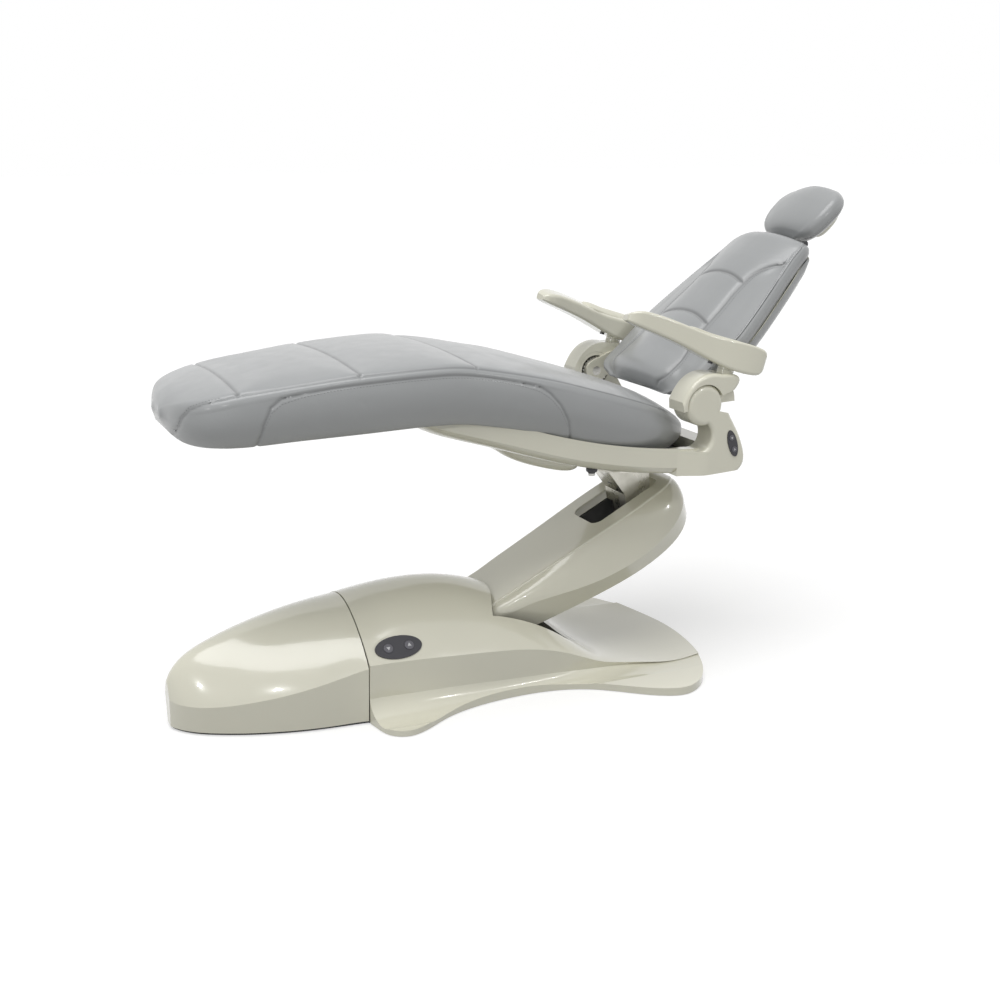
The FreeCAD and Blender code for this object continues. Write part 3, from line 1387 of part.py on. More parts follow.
def headrest_guide():
    """Channel behind the back frame that the headrest bar slides in."""
    half = BAR_WIDTH / 2 + RUN_GAP
    rear = BAR_FACE - BAR_THICK - RUN_GAP
    low, high = 292.0, 498.0
    guide = box(
        Vector(low, -half - GUIDE_WALL, rear - GUIDE_WALL),
        Vector(high, half + GUIDE_WALL, BACK_FRAME_LOW),
    )
    slot = box(Vector(low, -half, rear), Vector(high, half, BAR_FACE + RUN_GAP))
    return back_place(guide.cut(slot))


# Headrest

HEAD_PIVOT = Vector(HEAD_PIVOT_U, 0, HEAD_PIVOT_N)


def headrest_bar():
    """Flat bar with a fork for the headrest lug at its upper end."""
    half = BAR_WIDTH / 2
    bar = box(Vector(BAR_LOW, -half, BAR_FACE - BAR_THICK), Vector(BAR_HIGH, half, BAR_FACE))
    inner = HEAD_LUG_HALF_WIDTH + RUN_GAP
    room = HEAD_EYE_RADIUS + 2
    notch = box(HEAD_PIVOT + Vector(-room, -inner, -40), HEAD_PIVOT + Vector(40, inner, 40))
    bar = bar.cut(notch)
    for side in (-1, 1):
        low, high = sorted((side * inner, side * half))
        cheek = slab([
            HEAD_PIVOT + Vector(0, 0, HEAD_EYE_RADIUS),
            HEAD_PIVOT + Vector(-44, 0, HEAD_EYE_RADIUS - 2),
            HEAD_PIVOT + Vector(-44, 0, 2),
            HEAD_PIVOT + Vector(0, 0, -HEAD_EYE_RADIUS),
        ], low, high)
        bar = bar.fuse([cheek, cross_pin(HEAD_PIVOT, HEAD_EYE_RADIUS, low, high)])
    return back_place(bar.cut(cross_pin(HEAD_PIVOT, HEAD_PIN_RADIUS, -half, half)).removeSplitter())


def headrest_pin():
    half = BAR_WIDTH / 2
    return back_place(cross_pin(HEAD_PIVOT, HEAD_PIN_RADIUS, -half, half + 3))


def lock_knob():
    """Lobed knob on the near end of the headrest hinge, screwed over a short boss."""
    half = BAR_WIDTH / 2
    knob = cross_pin(HEAD_PIVOT, 13.0, -half - 20, -half - RUN_GAP)
    for lobe in range(5):
        middle = polar(HEAD_PIVOT, 17.5, 72 * lobe)
        knob = knob.cut(cross_pin(middle, 6.0, -half - 20, -half - 5))
    return back_place(knob)


def headrest_board():
    """Plate behind the headrest cushion with the lug of its hinge."""
    rear = HEAD_SECTIONS[3][2]
    low = rear - SEAT_GAP - HEAD_BOARD_THICK
    wide = HEAD_BOARD_HALF_WIDTH
    board = box(Vector(HEAD_BOARD_FROM, -wide, low), Vector(HEAD_BOARD_TO, wide, low + HEAD_BOARD_THICK))
    lug_end = Vector(HEAD_BOARD_FROM + 10, 0, low - 8)
    half = HEAD_LUG_HALF_WIDTH
    lug = eye_bar(HEAD_PIVOT, lug_end, HEAD_EYE_RADIUS, 6.0, -half, half)
    web = box(Vector(HEAD_BOARD_FROM, -half, low - 8), Vector(HEAD_BOARD_FROM + 44, half, low))
    board = board.fuse([lug, web]).removeSplitter()
    return back_place(board.cut(cross_pin(HEAD_PIVOT, HEAD_PIN_RADIUS + PIN_GAP, -half, half)))


def headrest_shell():
    """Rear cover of the headrest, over the board, open at the bottom for the lug."""
    rim = HEAD_SECTIONS[3][2] - SEAT_GAP
    outer = []
    inner = []
    wall = HEAD_SHELL_WALL
    last = len(HEAD_SHELL_SECTIONS) - 1
    for index, (u, half_width) in enumerate(HEAD_SHELL_SECTIONS):
        depth = HEAD_SHELL_DEPTH * (0.5 if index in (0, last) else 1.0)
        outer.append(shell_wire(u, half_width, rim, depth, 0.01))
        shift = {0: wall, last: -wall}.get(index, 0.0)
        inner.append(shell_wire(u + shift, half_width, rim, depth, wall))
    shell = loft(outer).cut(loft(inner))
    half = HEAD_LUG_HALF_WIDTH + 3
    shell = shell.cut(box(Vector(500, -half, -120), Vector(HEAD_BOARD_FROM + 24, half, 20)))
    shell = shell.cut(box(Vector(500, -300, rim), Vector(800, 300, 40)))
    return back_place(shell)


def headrest_cushion():
    recess = box(
        Vector(500, -HEAD_RECESS_HALF_WIDTH, -120),
        Vector(HEAD_RECESS_TOP, HEAD_RECESS_HALF_WIDTH, HEAD_RECESS_FLOOR),
    )
    return back_place(cushion(HEAD_SECTIONS, HEAD_CROWN, HEAD_CORNER, HEAD_TUCK).cut(recess))


# Armrests, drawn for the near side with the outside towards +y, then turned into place

def armrest_wire(x, half_width, low, outer, inner):
    turn = min(ARMREST_ROUND, 0.3 * (inner - low), 0.4 * half_width)
    corners = [(-half_width, low), (half_width, low), (half_width, outer), (-half_width, inner)]
    points = []
    for index, (y, z) in enumerate(corners):
        for other in (corners[index - 1], corners[(index + 1) % 4]):
            along = Vector(0, other[0] - y, other[1] - z).normalize()
            points.append(Vector(x, y, z) + along * turn)
    edges = []
    for index in range(4):
        before, after = points[2 * index], points[2 * index + 1]
        corner = Vector(x, *corners[index])
        middle = (before + after) * 0.5
        edges.append(arc(before, middle + (corner - middle) * 0.42, after))
        edges.append(line(after, points[(2 * index + 2) % 8]))
    return Part.Wire(edges)


def armrest_top(x):
    """Heights of the outer and inner top edges at one station, between the drawn ones."""
    for first, second in zip(ARMREST_SECTIONS, ARMREST_SECTIONS[1:]):
        if first[0] <= x <= second[0]:
            share = (x - first[0]) / (second[0] - first[0])
            return [first[k] + share * (second[k] - first[k]) for k in (1, 3, 4)]


def armrest_pad_form(grow, sunk, raised):
    wires = []
    middle = (ARMREST_PAD_FROM + ARMREST_PAD_TO) / 2
    length = (ARMREST_PAD_TO - ARMREST_PAD_FROM) / 2 + grow
    for share, narrow, drop in ((-1, 8, 3), (-0.94, 2, 1), (-0.5, 0, 0), (0.4, 0, 0), (0.94, 2, 1), (1, 8, 3)):
        x = middle + share * length
        half_width, outer, inner = armrest_top(x)
        slope = (outer - inner) / (2 * half_width)
        width = ARMREST_PAD_HALF_WIDTH + grow - narrow
        level = (outer + inner) / 2
        peak = level + raised - drop

        def at(y, rise):
            return Vector(x, y, rise + slope * y)

        wires.append(Part.Wire([
            line(at(-width, level - sunk - grow), at(width, level - sunk - grow)),
            line(at(width, level - sunk - grow), at(width, peak - 3)),
            arc(at(width, peak - 3), at(0, peak + 1.5), at(-width, peak - 3)),
            line(at(-width, peak - 3), at(-width, level - sunk - grow)),
        ]))
    return loft(wires)


def armrest_shell():
    body = loft([armrest_wire(*section) for section in ARMREST_SECTIONS])
    boss = Part.makeCylinder(POST_RADIUS, 20.0)
    body = body.fuse(boss)
    body = body.cut(Part.makeCylinder(POST_PIN_RADIUS + PIN_GAP, POST_PIN_HEIGHT + 2.0))
    body = body.cut(armrest_pad_form(SEAT_GAP, ARMREST_PAD_SUNK, 30.0))
    low = Vector(LATCH_X, 0, 0)
    return body.cut(cylinder(low, low + Vector(0, 0, 28), LATCH_RADIUS + SEAT_GAP))


def armrest_pad():
    return armrest_pad_form(0.0, ARMREST_PAD_SUNK, ARMREST_PAD_RAISED)


def armrest_latch():
    low = Vector(LATCH_X, 0, 4.0)
    return cylinder(low, low + Vector(0, 0, 24.0 - LATCH_TRAVEL - 0.5), LATCH_RADIUS)


def near_armrest(shape):
    return at_place(shape, armrest_frame(-1))


def base_button(side):
    return at_place(pad_button(BASE_PAD_HALF_LENGTH, BASE_BUTTON_RADIUS, side), base_pad_place())


def yoke_button(side):
    return at_place(pad_button(YOKE_PAD_HALF_LENGTH, YOKE_BUTTON_RADIUS, side), yoke_pad_place())


def base_pad():
    return at_place(
        pad_plate(BASE_PAD_HALF_LENGTH, BASE_PAD_HALF_HEIGHT, BASE_BUTTON_RADIUS), base_pad_place(),
    )


def yoke_pad():
    return at_place(
        pad_plate(YOKE_PAD_HALF_LENGTH, YOKE_PAD_HALF_WIDTH, YOKE_BUTTON_RADIUS), yoke_pad_place(),
    )


PARTS = {
    "base_plate": base_plate(),
    "nose_cover": nose_cover(),
    "main_cover": main_cover(),
    "pivot_bracket": pivot_bracket(),
    "bracket_bolts": bracket_bolts(),
    "link_pin": link_pin(),
    "lift_gearmotor": lift_gearmotor(),
    "actuator_tube": actuator_tube(),
    "actuator_cradle": actuator_cradle(),
    "power_box": power_box(),
    "base_pad": base_pad(),
    "base_button_front": base_button(-1),
    "base_button_rear": base_button(1),
    "lift_shaft": lift_shaft(),
    "lift_arm": lift_arm(),
    "arm_cover": arm_cover(),
    "arm_saddles": arm_saddles(),
    "carrier_pin": carrier_pin(),
    "lift_ram": lift_ram(),
    "tie_rod": tie_rod(),
    "carrier": carrier(),
    "tie_rod_pin": tie_rod_pin(),
    "thrust_ring": thrust_ring(),
    "seat_frame": seat_frame(),
    "seat_pan": seat_pan(),
    "seat_cushion": seat_cushion(),
    "under_cover": under_cover(),
    "seat_control_box": seat_control_box(),
    "brake_pin": brake_pin(),
    "brake_lever": brake_lever(),
    "brake_knob": brake_knob(),
    "yoke_pad": yoke_pad(),
    "yoke_button_low": yoke_button(-1),
    "yoke_button_high": yoke_button(1),
    "back_frame": back_frame(),
    "back_cushion": back_cushion(),
    "back_shell": back_shell(),
    "link_bolts": link_bolts(),
    "headrest_guide": headrest_guide(),
    "headrest_bar": headrest_bar(),
    "headrest_pin": headrest_pin(),
    "lock_knob": lock_knob(),
    "headrest_board": headrest_board(),
    "headrest_shell": headrest_shell(),
    "headrest_cushion": headrest_cushion(),
}

# Pieces that come in a near and a far one
PAIRS = {
    "hub_pin": hub_pin(),
    "recliner_gear": recliner_gear(),
    "back_link": back_link(),
    "armrest_shell": near_armrest(armrest_shell()),
    "armrest_pad": near_armrest(armrest_pad()),
    "armrest_latch": near_armrest(armrest_latch()),
}
for name, piece in PAIRS.items():
    PARTS[name + "_near"] = piece
    PARTS[name + "_far"] = mirrored(piece)

os.makedirs("parts", exist_ok=True)
for node, shape in PARTS.items():
    print(node, shape.isValid(), len(shape.Solids), round(shape.Volume / 1000), "cm3")
    shape.exportStep("parts/" + node + ".step")
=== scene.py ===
"""Looks of an electric dental chair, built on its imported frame."""

import json
import math

import bmesh
import bpy
from mathutils import Matrix, Vector


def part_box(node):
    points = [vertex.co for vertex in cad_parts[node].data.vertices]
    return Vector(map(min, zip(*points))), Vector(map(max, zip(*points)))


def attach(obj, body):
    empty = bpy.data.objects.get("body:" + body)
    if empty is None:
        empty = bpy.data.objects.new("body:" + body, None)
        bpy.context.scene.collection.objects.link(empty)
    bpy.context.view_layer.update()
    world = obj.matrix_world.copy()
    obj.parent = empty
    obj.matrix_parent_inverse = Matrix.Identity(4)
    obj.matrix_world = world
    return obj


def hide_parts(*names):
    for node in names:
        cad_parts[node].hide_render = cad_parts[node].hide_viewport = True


bl_info = {
    "name": "Dental chair",
    "version": (1, 0, 0),
    "blender": (4, 5, 0),
    "location": "View3D > Sidebar > Chair",
    "description": "Upholstery, finishes and studio of an electric dental chair",
    "category": "Object",
}

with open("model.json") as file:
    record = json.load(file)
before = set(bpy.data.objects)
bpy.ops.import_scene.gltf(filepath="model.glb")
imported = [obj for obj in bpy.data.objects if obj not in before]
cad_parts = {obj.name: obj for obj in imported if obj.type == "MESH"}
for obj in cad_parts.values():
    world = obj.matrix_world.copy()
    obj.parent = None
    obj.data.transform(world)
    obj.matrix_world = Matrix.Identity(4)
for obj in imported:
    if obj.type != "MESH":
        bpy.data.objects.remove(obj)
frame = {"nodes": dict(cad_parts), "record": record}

MM = 0.001
JOINTS = {joint["name"]: joint for joint in frame["record"]["behaviour"]["joints"]}
SWIVEL = Vector(JOINTS["seat_swivel"]["pos_m"])
HUB = Vector(JOINTS["back_recline"]["pos_m"])
ALONG_BACK = Vector(JOINTS["headrest_slide"]["axis"])


# Finishes

def linear(code):
    """Linear colour of an sRGB hex value."""
    colour = []
    for start in (0, 2, 4):
        value = int(code[start:start + 2], 16) / 255
        colour.append(value / 12.92 if value <= 0.04045 else ((value + 0.055) / 1.055) ** 2.4)
    return (*colour, 1.0)


def darker(colour, share):
    """The colour with this share of its brightness."""
    return (*[value * share for value in colour[:3]], 1.0)


def per_mm(size):
    """Texture scale that draws a pattern's features about this many millimetres across."""
    return 1000.0 / size


def add(tree, kind, inputs, **settings):
    """Add one node with its settings, and fill its inputs with values or links."""
    made = tree.nodes.new(kind)
    for name, value in settings.items():
        setattr(made, name, value)
    for name, value in inputs.items():
        if isinstance(value, bpy.types.NodeSocket):
            tree.links.new(value, made.inputs[name])
        else:
            made.inputs[name].default_value = value
    return made


def start_finish(name, settings):
    """New material with constants on its shader, and the socket that gives places on the object."""
    finish = bpy.data.materials.new(name)
    finish.use_nodes = True
    tree = finish.node_tree
    shader = tree.nodes["Principled BSDF"]
    for socket, value in settings.items():
        shader.inputs[socket].default_value = value
    place = add(tree, "ShaderNodeTexCoord", {}).outputs["Object"]
    return finish, tree, shader, place


def connect(tree, shader, tone, rough, surface):
    """Link the nodes that give colour, roughness and relief to the shader."""
    tree.links.new(tone.outputs["Result"], shader.inputs["Base Color"])
    tree.links.new(rough.outputs["Result"], shader.inputs["Roughness"])
    tree.links.new(surface.outputs["Normal"], shader.inputs["Normal"])


def gloss_abs(light, shade):
    """Moulded ABS, polished: tone drifts over a big moulding, reflections ripple a little."""
    finish, tree, shader, place = start_finish("moulded_abs_ivory", {
        "IOR": 1.53, "Coat Weight": 0.5, "Coat Roughness": 0.04,
    })
    drift = add(tree, "ShaderNodeTexNoise", {"Vector": place, "Scale": per_mm(260), "Detail": 3.0})
    tone = add(tree, "ShaderNodeMix", {
        "Factor": drift.outputs["Fac"], "A": light, "B": shade,
    }, data_type="RGBA")
    wiped = add(tree, "ShaderNodeTexNoise", {"Vector": place, "Scale": per_mm(55), "Detail": 4.0})
    rough = add(tree, "ShaderNodeMapRange", {
        "Value": wiped.outputs["Fac"], "From Min": 0.3, "From Max": 0.7, "To Min": 0.14, "To Max": 0.22,
    })
    ripple = add(tree, "ShaderNodeTexNoise", {"Vector": place, "Scale": per_mm(130), "Detail": 1.0})
    waves = add(tree, "ShaderNodeBump", {
        "Height": ripple.outputs["Fac"], "Strength": 0.1, "Distance": 1.4 * MM,
    })
    peel = add(tree, "ShaderNodeTexNoise", {"Vector": place, "Scale": per_mm(5), "Detail": 2.0})
    skin = add(tree, "ShaderNodeBump", {
        "Height": peel.outputs["Fac"], "Strength": 0.06, "Distance": 0.25 * MM,
        "Normal": waves.outputs["Normal"],
    })
    connect(tree, shader, tone, rough, skin)
    return finish


def soft_skin(light, shade):
    """Integral skin foam of the armrest pads: ivory like the shells, but matt and pebbled."""
    finish, tree, shader, place = start_finish("skinned_foam_ivory", {"IOR": 1.5, "Sheen Weight": 0.08})
    drift = add(tree, "ShaderNodeTexNoise", {"Vector": place, "Scale": per_mm(60), "Detail": 3.0})
    tone = add(tree, "ShaderNodeMix", {
        "Factor": drift.outputs["Fac"], "A": light, "B": shade,
    }, data_type="RGBA")
    rough = add(tree, "ShaderNodeMapRange", {
        "Value": drift.outputs["Fac"], "From Min": 0.3, "From Max": 0.7, "To Min": 0.42, "To Max": 0.54,
    })
    pebble = add(tree, "ShaderNodeTexVoronoi", {"Vector": place, "Scale": per_mm(3)})
    skin = add(tree, "ShaderNodeBump", {
        "Height": pebble.outputs["Distance"], "Strength": 0.2, "Distance": 0.3 * MM,
    })
    connect(tree, shader, tone, rough, skin)
    return finish


def upholstery_vinyl(light, shade, seam):
    """Calendered vinyl: pressed hide grain, satin gloss, and painted shade in the seam grooves, darker where
    a seam is drawn in deeper.

    Real grain is about 1.5 mm across, and is drawn at twice that so that it shows at this distance.
    """
    finish, tree, shader, place = start_finish("upholstery_vinyl_grey", {
        "IOR": 1.52, "Sheen Weight": 0.35, "Sheen Roughness": 0.3,
        "Coat Weight": 0.6, "Coat Roughness": 0.22,
    })
    drift = add(tree, "ShaderNodeTexNoise", {"Vector": place, "Scale": per_mm(150), "Detail": 4.0})
    tone = add(tree, "ShaderNodeMix", {
        "Factor": drift.outputs["Fac"], "A": light, "B": shade,
    }, data_type="RGBA")
    # Painted shade: the seam attribute darkens the vinyl towards the seam colour inside the grooves, where
    # shade falls
    depth = add(tree, "ShaderNodeAttribute", {}, attribute_name="seam")
    sewn = add(tree, "ShaderNodeMix", {
        "Factor": depth.outputs["Fac"], "A": tone.outputs["Result"], "B": seam,
    }, data_type="RGBA")
    worn = add(tree, "ShaderNodeTexNoise", {"Vector": place, "Scale": per_mm(40), "Detail": 4.0})
    rough = add(tree, "ShaderNodeMapRange", {
        "Value": worn.outputs["Fac"], "From Min": 0.3, "From Max": 0.7, "To Min": 0.36, "To Max": 0.5,
    })
    creases = add(tree, "ShaderNodeBump", {
        "Height": worn.outputs["Fac"], "Strength": 0.12, "Distance": 1.2 * MM,
    })
    grain = add(tree, "ShaderNodeTexVoronoi", {
        "Vector": place, "Scale": per_mm(3),
    }, feature="DISTANCE_TO_EDGE")
    hide = add(tree, "ShaderNodeBump", {
        "Height": grain.outputs["Distance"], "Strength": 0.2, "Distance": 0.5 * MM,
        "Normal": creases.outputs["Normal"],
    })
    connect(tree, shader, sewn, rough, hide)
    return finish


def polyester_thread(light, shade):
    """Twisted sewing thread: dull, with the twist as bands across it."""
    finish, tree, shader, place = start_finish("polyester_thread_grey", {"IOR": 1.5, "Sheen Weight": 0.3})
    twist = add(tree, "ShaderNodeTexNoise", {"Vector": place, "Scale": per_mm(0.8), "Detail": 2.0})
    tone = add(tree, "ShaderNodeMix", {
        "Factor": twist.outputs["Fac"], "A": light, "B": shade,
    }, data_type="RGBA")
    rough = add(tree, "ShaderNodeMapRange", {"Value": twist.outputs["Fac"], "To Min": 0.55, "To Max": 0.8})
    strands = add(tree, "ShaderNodeBump", {
        "Height": twist.outputs["Fac"], "Strength": 0.3, "Distance": 0.2 * MM,
    })
    connect(tree, shader, tone, rough, strands)
    return finish


def powder_coat(light, shade):
    """Powder coated steel inside the chair: near black, with a fine sandy texture."""
    finish, tree, shader, place = start_finish("powder_coat_black", {"IOR": 1.5})
    grit = add(tree, "ShaderNodeTexNoise", {"Vector": place, "Scale": per_mm(2), "Detail": 3.0})
    dust = add(tree, "ShaderNodeTexNoise", {"Vector": place, "Scale": per_mm(70), "Detail": 4.0})
    tone = add(tree, "ShaderNodeMix", {
        "Factor": dust.outputs["Fac"], "A": light, "B": shade,
    }, data_type="RGBA")
    rough = add(tree, "ShaderNodeMapRange", {
        "Value": dust.outputs["Fac"], "From Min": 0.3, "From Max": 0.7, "To Min": 0.42, "To Max": 0.6,
    })
    skin = add(tree, "ShaderNodeBump", {
        "Height": grit.outputs["Fac"], "Strength": 0.25, "Distance": 0.25 * MM,
    })
    connect(tree, shader, tone, rough, skin)
    return finish


def turned_steel(light, shade):
    """Zinc plated, turned and ground steel: fine lines round and along the bright surface."""
    finish, tree, shader, place = start_finish("turned_steel_zinc", {"Metallic": 1.0})
    lines = add(tree, "ShaderNodeMapping", {
        "Vector": place, "Scale": (per_mm(26), per_mm(1), per_mm(1)),
    })
    brush = add(tree, "ShaderNodeTexNoise", {"Vector": lines.outputs["Vector"], "Scale": 1.0, "Detail": 2.0})
    tone = add(tree, "ShaderNodeMix", {
        "Factor": brush.outputs["Fac"], "A": light, "B": shade,
    }, data_type="RGBA")
    rough = add(tree, "ShaderNodeMapRange", {"Value": brush.outputs["Fac"], "To Min": 0.2, "To Max": 0.42})
    skin = add(tree, "ShaderNodeBump", {
        "Height": brush.outputs["Fac"], "Strength": 0.08, "Distance": 0.1 * MM,
    })
    connect(tree, shader, tone, rough, skin)
    return finish


def cast_aluminium(light, shade):
    """Cast aluminium, tumbled bright: soft sandy skin under a broad metal shine."""
    finish, tree, shader, place = start_finish("cast_aluminium_bright", {"Metallic": 1.0})
    sand = add(tree, "ShaderNodeTexNoise", {"Vector": place, "Scale": per_mm(3), "Detail": 4.0})
    cloud = add(tree, "ShaderNodeTexNoise", {"Vector": place, "Scale": per_mm(35), "Detail": 3.0})
    tone = add(tree, "ShaderNodeMix", {
        "Factor": cloud.outputs["Fac"], "A": light, "B": shade,
    }, data_type="RGBA")
    rough = add(tree, "ShaderNodeMapRange", {
        "Value": cloud.outputs["Fac"], "From Min": 0.3, "From Max": 0.7, "To Min": 0.22, "To Max": 0.38,
    })
    skin = add(tree, "ShaderNodeBump", {
        "Height": sand.outputs["Fac"], "Strength": 0.14, "Distance": 0.3 * MM,
    })
    connect(tree, shader, tone, rough, skin)
    return finish


def dark_abs(name, light, shade):
    """Spark textured ABS of the pads, buttons and knobs: dark, with a fine even grain."""
    finish, tree, shader, place = start_finish(name, {
        "IOR": 1.53, "Coat Weight": 0.15, "Coat Roughness": 0.2,
    })
    spark = add(tree, "ShaderNodeTexNoise", {"Vector": place, "Scale": per_mm(1.5), "Detail": 2.0})
    cloud = add(tree, "ShaderNodeTexNoise", {"Vector": place, "Scale": per_mm(25), "Detail": 3.0})
    tone = add(tree, "ShaderNodeMix", {
        "Factor": cloud.outputs["Fac"], "A": light, "B": shade,
    }, data_type="RGBA")
    rough = add(tree, "ShaderNodeMapRange", {
        "Value": cloud.outputs["Fac"], "From Min": 0.3, "From Max": 0.7, "To Min": 0.28, "To Max": 0.4,
    })
    skin = add(tree, "ShaderNodeBump", {
        "Height": spark.outputs["Fac"], "Strength": 0.15, "Distance": 0.15 * MM,
    })
    connect(tree, shader, tone, rough, skin)
    return finish


# Drawn shapes

def first_ring(shape, count):
    """New closed ring of vertices, and the loop of edges round it."""
    ring = [shape.verts.new() for number in range(count)]
    return ring, [shape.edges.new((ring[k - 1], ring[k])) for k in range(count)]


def next_ring(shape, ring, loop):
    """Extrude a ring once, and give the new ring and loop in the same order."""
    made = bmesh.ops.extrude_edge_only(shape, edges=loop)["geom"]
    fresh = {item for item in made if isinstance(item, bmesh.types.BMVert)}
    ring = [next(e.other_vert(v) for e in v.link_edges if e.other_vert(v) in fresh) for v in ring]
    loop = [next(e for e in v.link_edges if e.other_vert(v) is ring[k - 1]) for k, v in enumerate(ring)]
    return ring, loop


def settle_order(shape):
    """Sort edges and faces by their vertices, because extruding leaves them in an order that varies."""
    shape.verts.index_update()
    count = len(shape.verts)

    def edge_place(edge):
        low, high = sorted(vert.index for vert in edge.verts)
        return low * count + high

    def face_place(face):
        low, *middle, high = sorted(vert.index for vert in face.verts)
        return low * 4 * count + sum(middle)

    shape.edges.sort(key=edge_place)
    shape.faces.sort(key=face_place)


def make_object(shape, name, smooth=True):
    """Object in the scene with the drawn shape as its mesh."""
    mesh = bpy.data.meshes.new(name)
    shape.to_mesh(mesh)
    shape.free()
    if smooth:
        mesh.polygons.foreach_set("use_smooth", [True] * len(mesh.polygons))
    made = bpy.data.objects.new(name, mesh)
    bpy.context.scene.collection.objects.link(made)
    return made


# Sewn and stuffed forms, in millimetres

# Vertices this near a seam are moved onto it, and those this near are held by it
SEAM_SNAP = 1.5
SEAM_HOLD = 2.0
# Depth of a seam at which its painted shade is darkest
SEAM_SHADE_FULL_DEPTH = 5.0
# A corner or tuck takes up no more than this share of a section, and thinner sections swell less
MOST_SHARE = 0.4
FULL_HEIGHT = 40.0
# About how long one turn is round a section
TURN_LENGTH = 70.0
STUFFING_FRAMES = 20
# Half sizes of a stitch: its length as a share of the pitch, its width and its height
STITCH_SHARE = 0.36
STITCH_WIDTH = 0.8
STITCH_HEIGHT = 0.7


def between(rows, x):
    """Numbers of a row at station x, on smooth curves through the rows."""
    x = min(max(x, rows[0][0]), rows[-1][0])
    index = max(k for k in range(len(rows) - 1) if rows[k][0] <= x)
    first, second = rows[index], rows[index + 1]
    before, after = rows[max(index - 1, 0)], rows[min(index + 2, len(rows) - 1)]
    gap = second[0] - first[0]
    t = (x - first[0]) / gap
    numbers = []
    for a, b, c, d in zip(before[1:], first[1:], second[1:], after[1:]):
        slope = (c - b) / gap
        start = 0.0 if (b - a) * slope < 0 else (c - a) / (second[0] - before[0])
        end = 0.0 if (d - c) * slope < 0 else (d - b) / (after[0] - first[0])
        start = math.copysign(min(abs(start), 3 * abs(slope)), slope)
        end = math.copysign(min(abs(end), 3 * abs(slope)), slope)
        bend = t * (1 - t)
        share = t * t * (3 - 2 * t)
        numbers.append(b + (c - b) * share + gap * bend * (start * (1 - t) - end * t))
    return numbers


def spread(start, end, gap, close=(), close_gap=2.5, reach=8.0):
    """Stations from start to end, closer together near the given places or within the given spans."""
    spans = [(place - reach, place + reach) if isinstance(place, float) else place for place in close]
    stations = [start]
    while stations[-1] < end - close_gap:
        here = stations[-1]
        step = gap
        for low, high in spans:
            if low <= here < high:
                step = min(step, close_gap)
            elif here < low < here + step:
                step = max(close_gap, low - here)
        stations.append(here + step)
    stations[-1] = end
    for place in close:
        if isinstance(place, float) and start < place < end:
            nearest = min(range(len(stations)), key=lambda k: abs(stations[k] - place))
            stations[nearest] = place
    return stations


class SewnForm:
    """Stuffed form drawn as sections along its length, with seams sewn into it.

    A place on it is a station along the form, in millimetres, and a turn round the section: 0 is the
    middle of the top, 1 its edge, 2 the end of the rounded corner, 3 the foot of the side and 4 the
    middle of the underside. Minus turns are the near side.
    """

    def __init__(self, rows, crown, corner, tuck):
        self.rows = rows
        self.crown = crown
        self.corner = corner
        self.tuck = tuck
        self.seams = []

    def sizes(self, x):
        half_width, low, edge = between(self.rows, x)
        height = edge - low
        return half_width, low, edge, height, min(self.corner, MOST_SHARE * height)

    def across(self, x, turn, top):
        """Distance from the middle on the top, whose half width is given."""
        return turn * top

    def swell(self, x, y, top):
        """Height of the top above its edge, as a share of the crown."""
        return 1 - (y / top) ** 2

    def slip(self, x, y):
        """How far a section line bends towards the start of the form."""
        return 0.0

    def point(self, x, turn):
        half_width, low, edge, height, corner = self.sizes(x)
        side = 1.0 if turn >= 0 else -1.0
        turn = abs(turn)
        top = half_width - corner
        inset = min(self.tuck, MOST_SHARE * half_width)
        if turn <= 1:
            y = self.across(x, turn, top)
            z = edge + self.crown * min(1.0, height / FULL_HEIGHT) * self.swell(x, y, top)
        elif turn <= 2:
            angle = (turn - 1) * math.pi / 2
            y = top + corner * math.sin(angle)
            z = edge - corner * (1 - math.cos(angle))
        elif turn <= 3:
            down = turn - 2
            y = half_width - inset * down ** 2.4 + 0.05 * height * math.sin(math.pi * down)
            z = edge - corner - (height - corner) * down
        else:
            y = (half_width - inset) * (4 - turn)
            z = low
        return Vector((x - self.slip(x, y), side * y, z))

    def girth(self, x, turn):
        """Way round the section from the edge of the top, in millimetres."""
        half_width, low, edge, height, corner = self.sizes(x)
        turn = abs(turn)
        bend = corner * math.pi / 2
        if turn <= 1:
            return self.across(x, turn, half_width - corner) - (half_width - corner)
        if turn <= 2:
            return (turn - 1) * bend
        return bend + (turn - 2) * (height - corner)

    def turn_at(self, x, girth):
        """Turn of a place below the edge of the top."""
        half_width, low, edge, height, corner = self.sizes(x)
        bend = corner * math.pi / 2
        if girth <= bend:
            return 1 + girth / bend
        return 2 + (girth - bend) / (height - corner)

    def sew(self, path, depth, width):
        """Add a seam along places of the form, the same on both sides."""
        route = [(x, self.girth(x, turn)) for x, turn in along(path, 8.0)]
        self.seams.append((route, depth, width))

    def seam_near(self, x, turn):
        """Distance to the nearest seam, the place on it, and how deep the cover is drawn in here."""
        girth = self.girth(x, turn)
        best = (1e9, x, girth)
        drawn = 0.0
        for route, depth, width in self.seams:
            nearest = (1e9, x, girth)
            for (x0, g0), (x1, g1) in zip(route, route[1:]):
                dx, dg = x1 - x0, g1 - g0
                t = ((x - x0) * dx + (girth - g0) * dg) / max(1e-9, dx * dx + dg * dg)
                t = min(1.0, max(0.0, t))
                there = (x0 + t * dx, g0 + t * dg)
                nearest = min(nearest, (math.hypot(x - there[0], girth - there[1]), *there))
            drawn = max(drawn, depth * math.exp(-(nearest[0] / width) ** 2))
            best = min(best, nearest)
        return (*best, drawn)


def section_turns(top, corner, side):
    """Turns round a whole section, from the near underside over the top to the far underside."""
    sides = [2 + k / side for k in range(side)]
    half = sorted({*top, *[1 + turn for turn in corner], *sides, 3.0, 3.06, 3.3, 3.65})
    return [-turn for turn in reversed(half) if turn > 0] + half + [4.0]


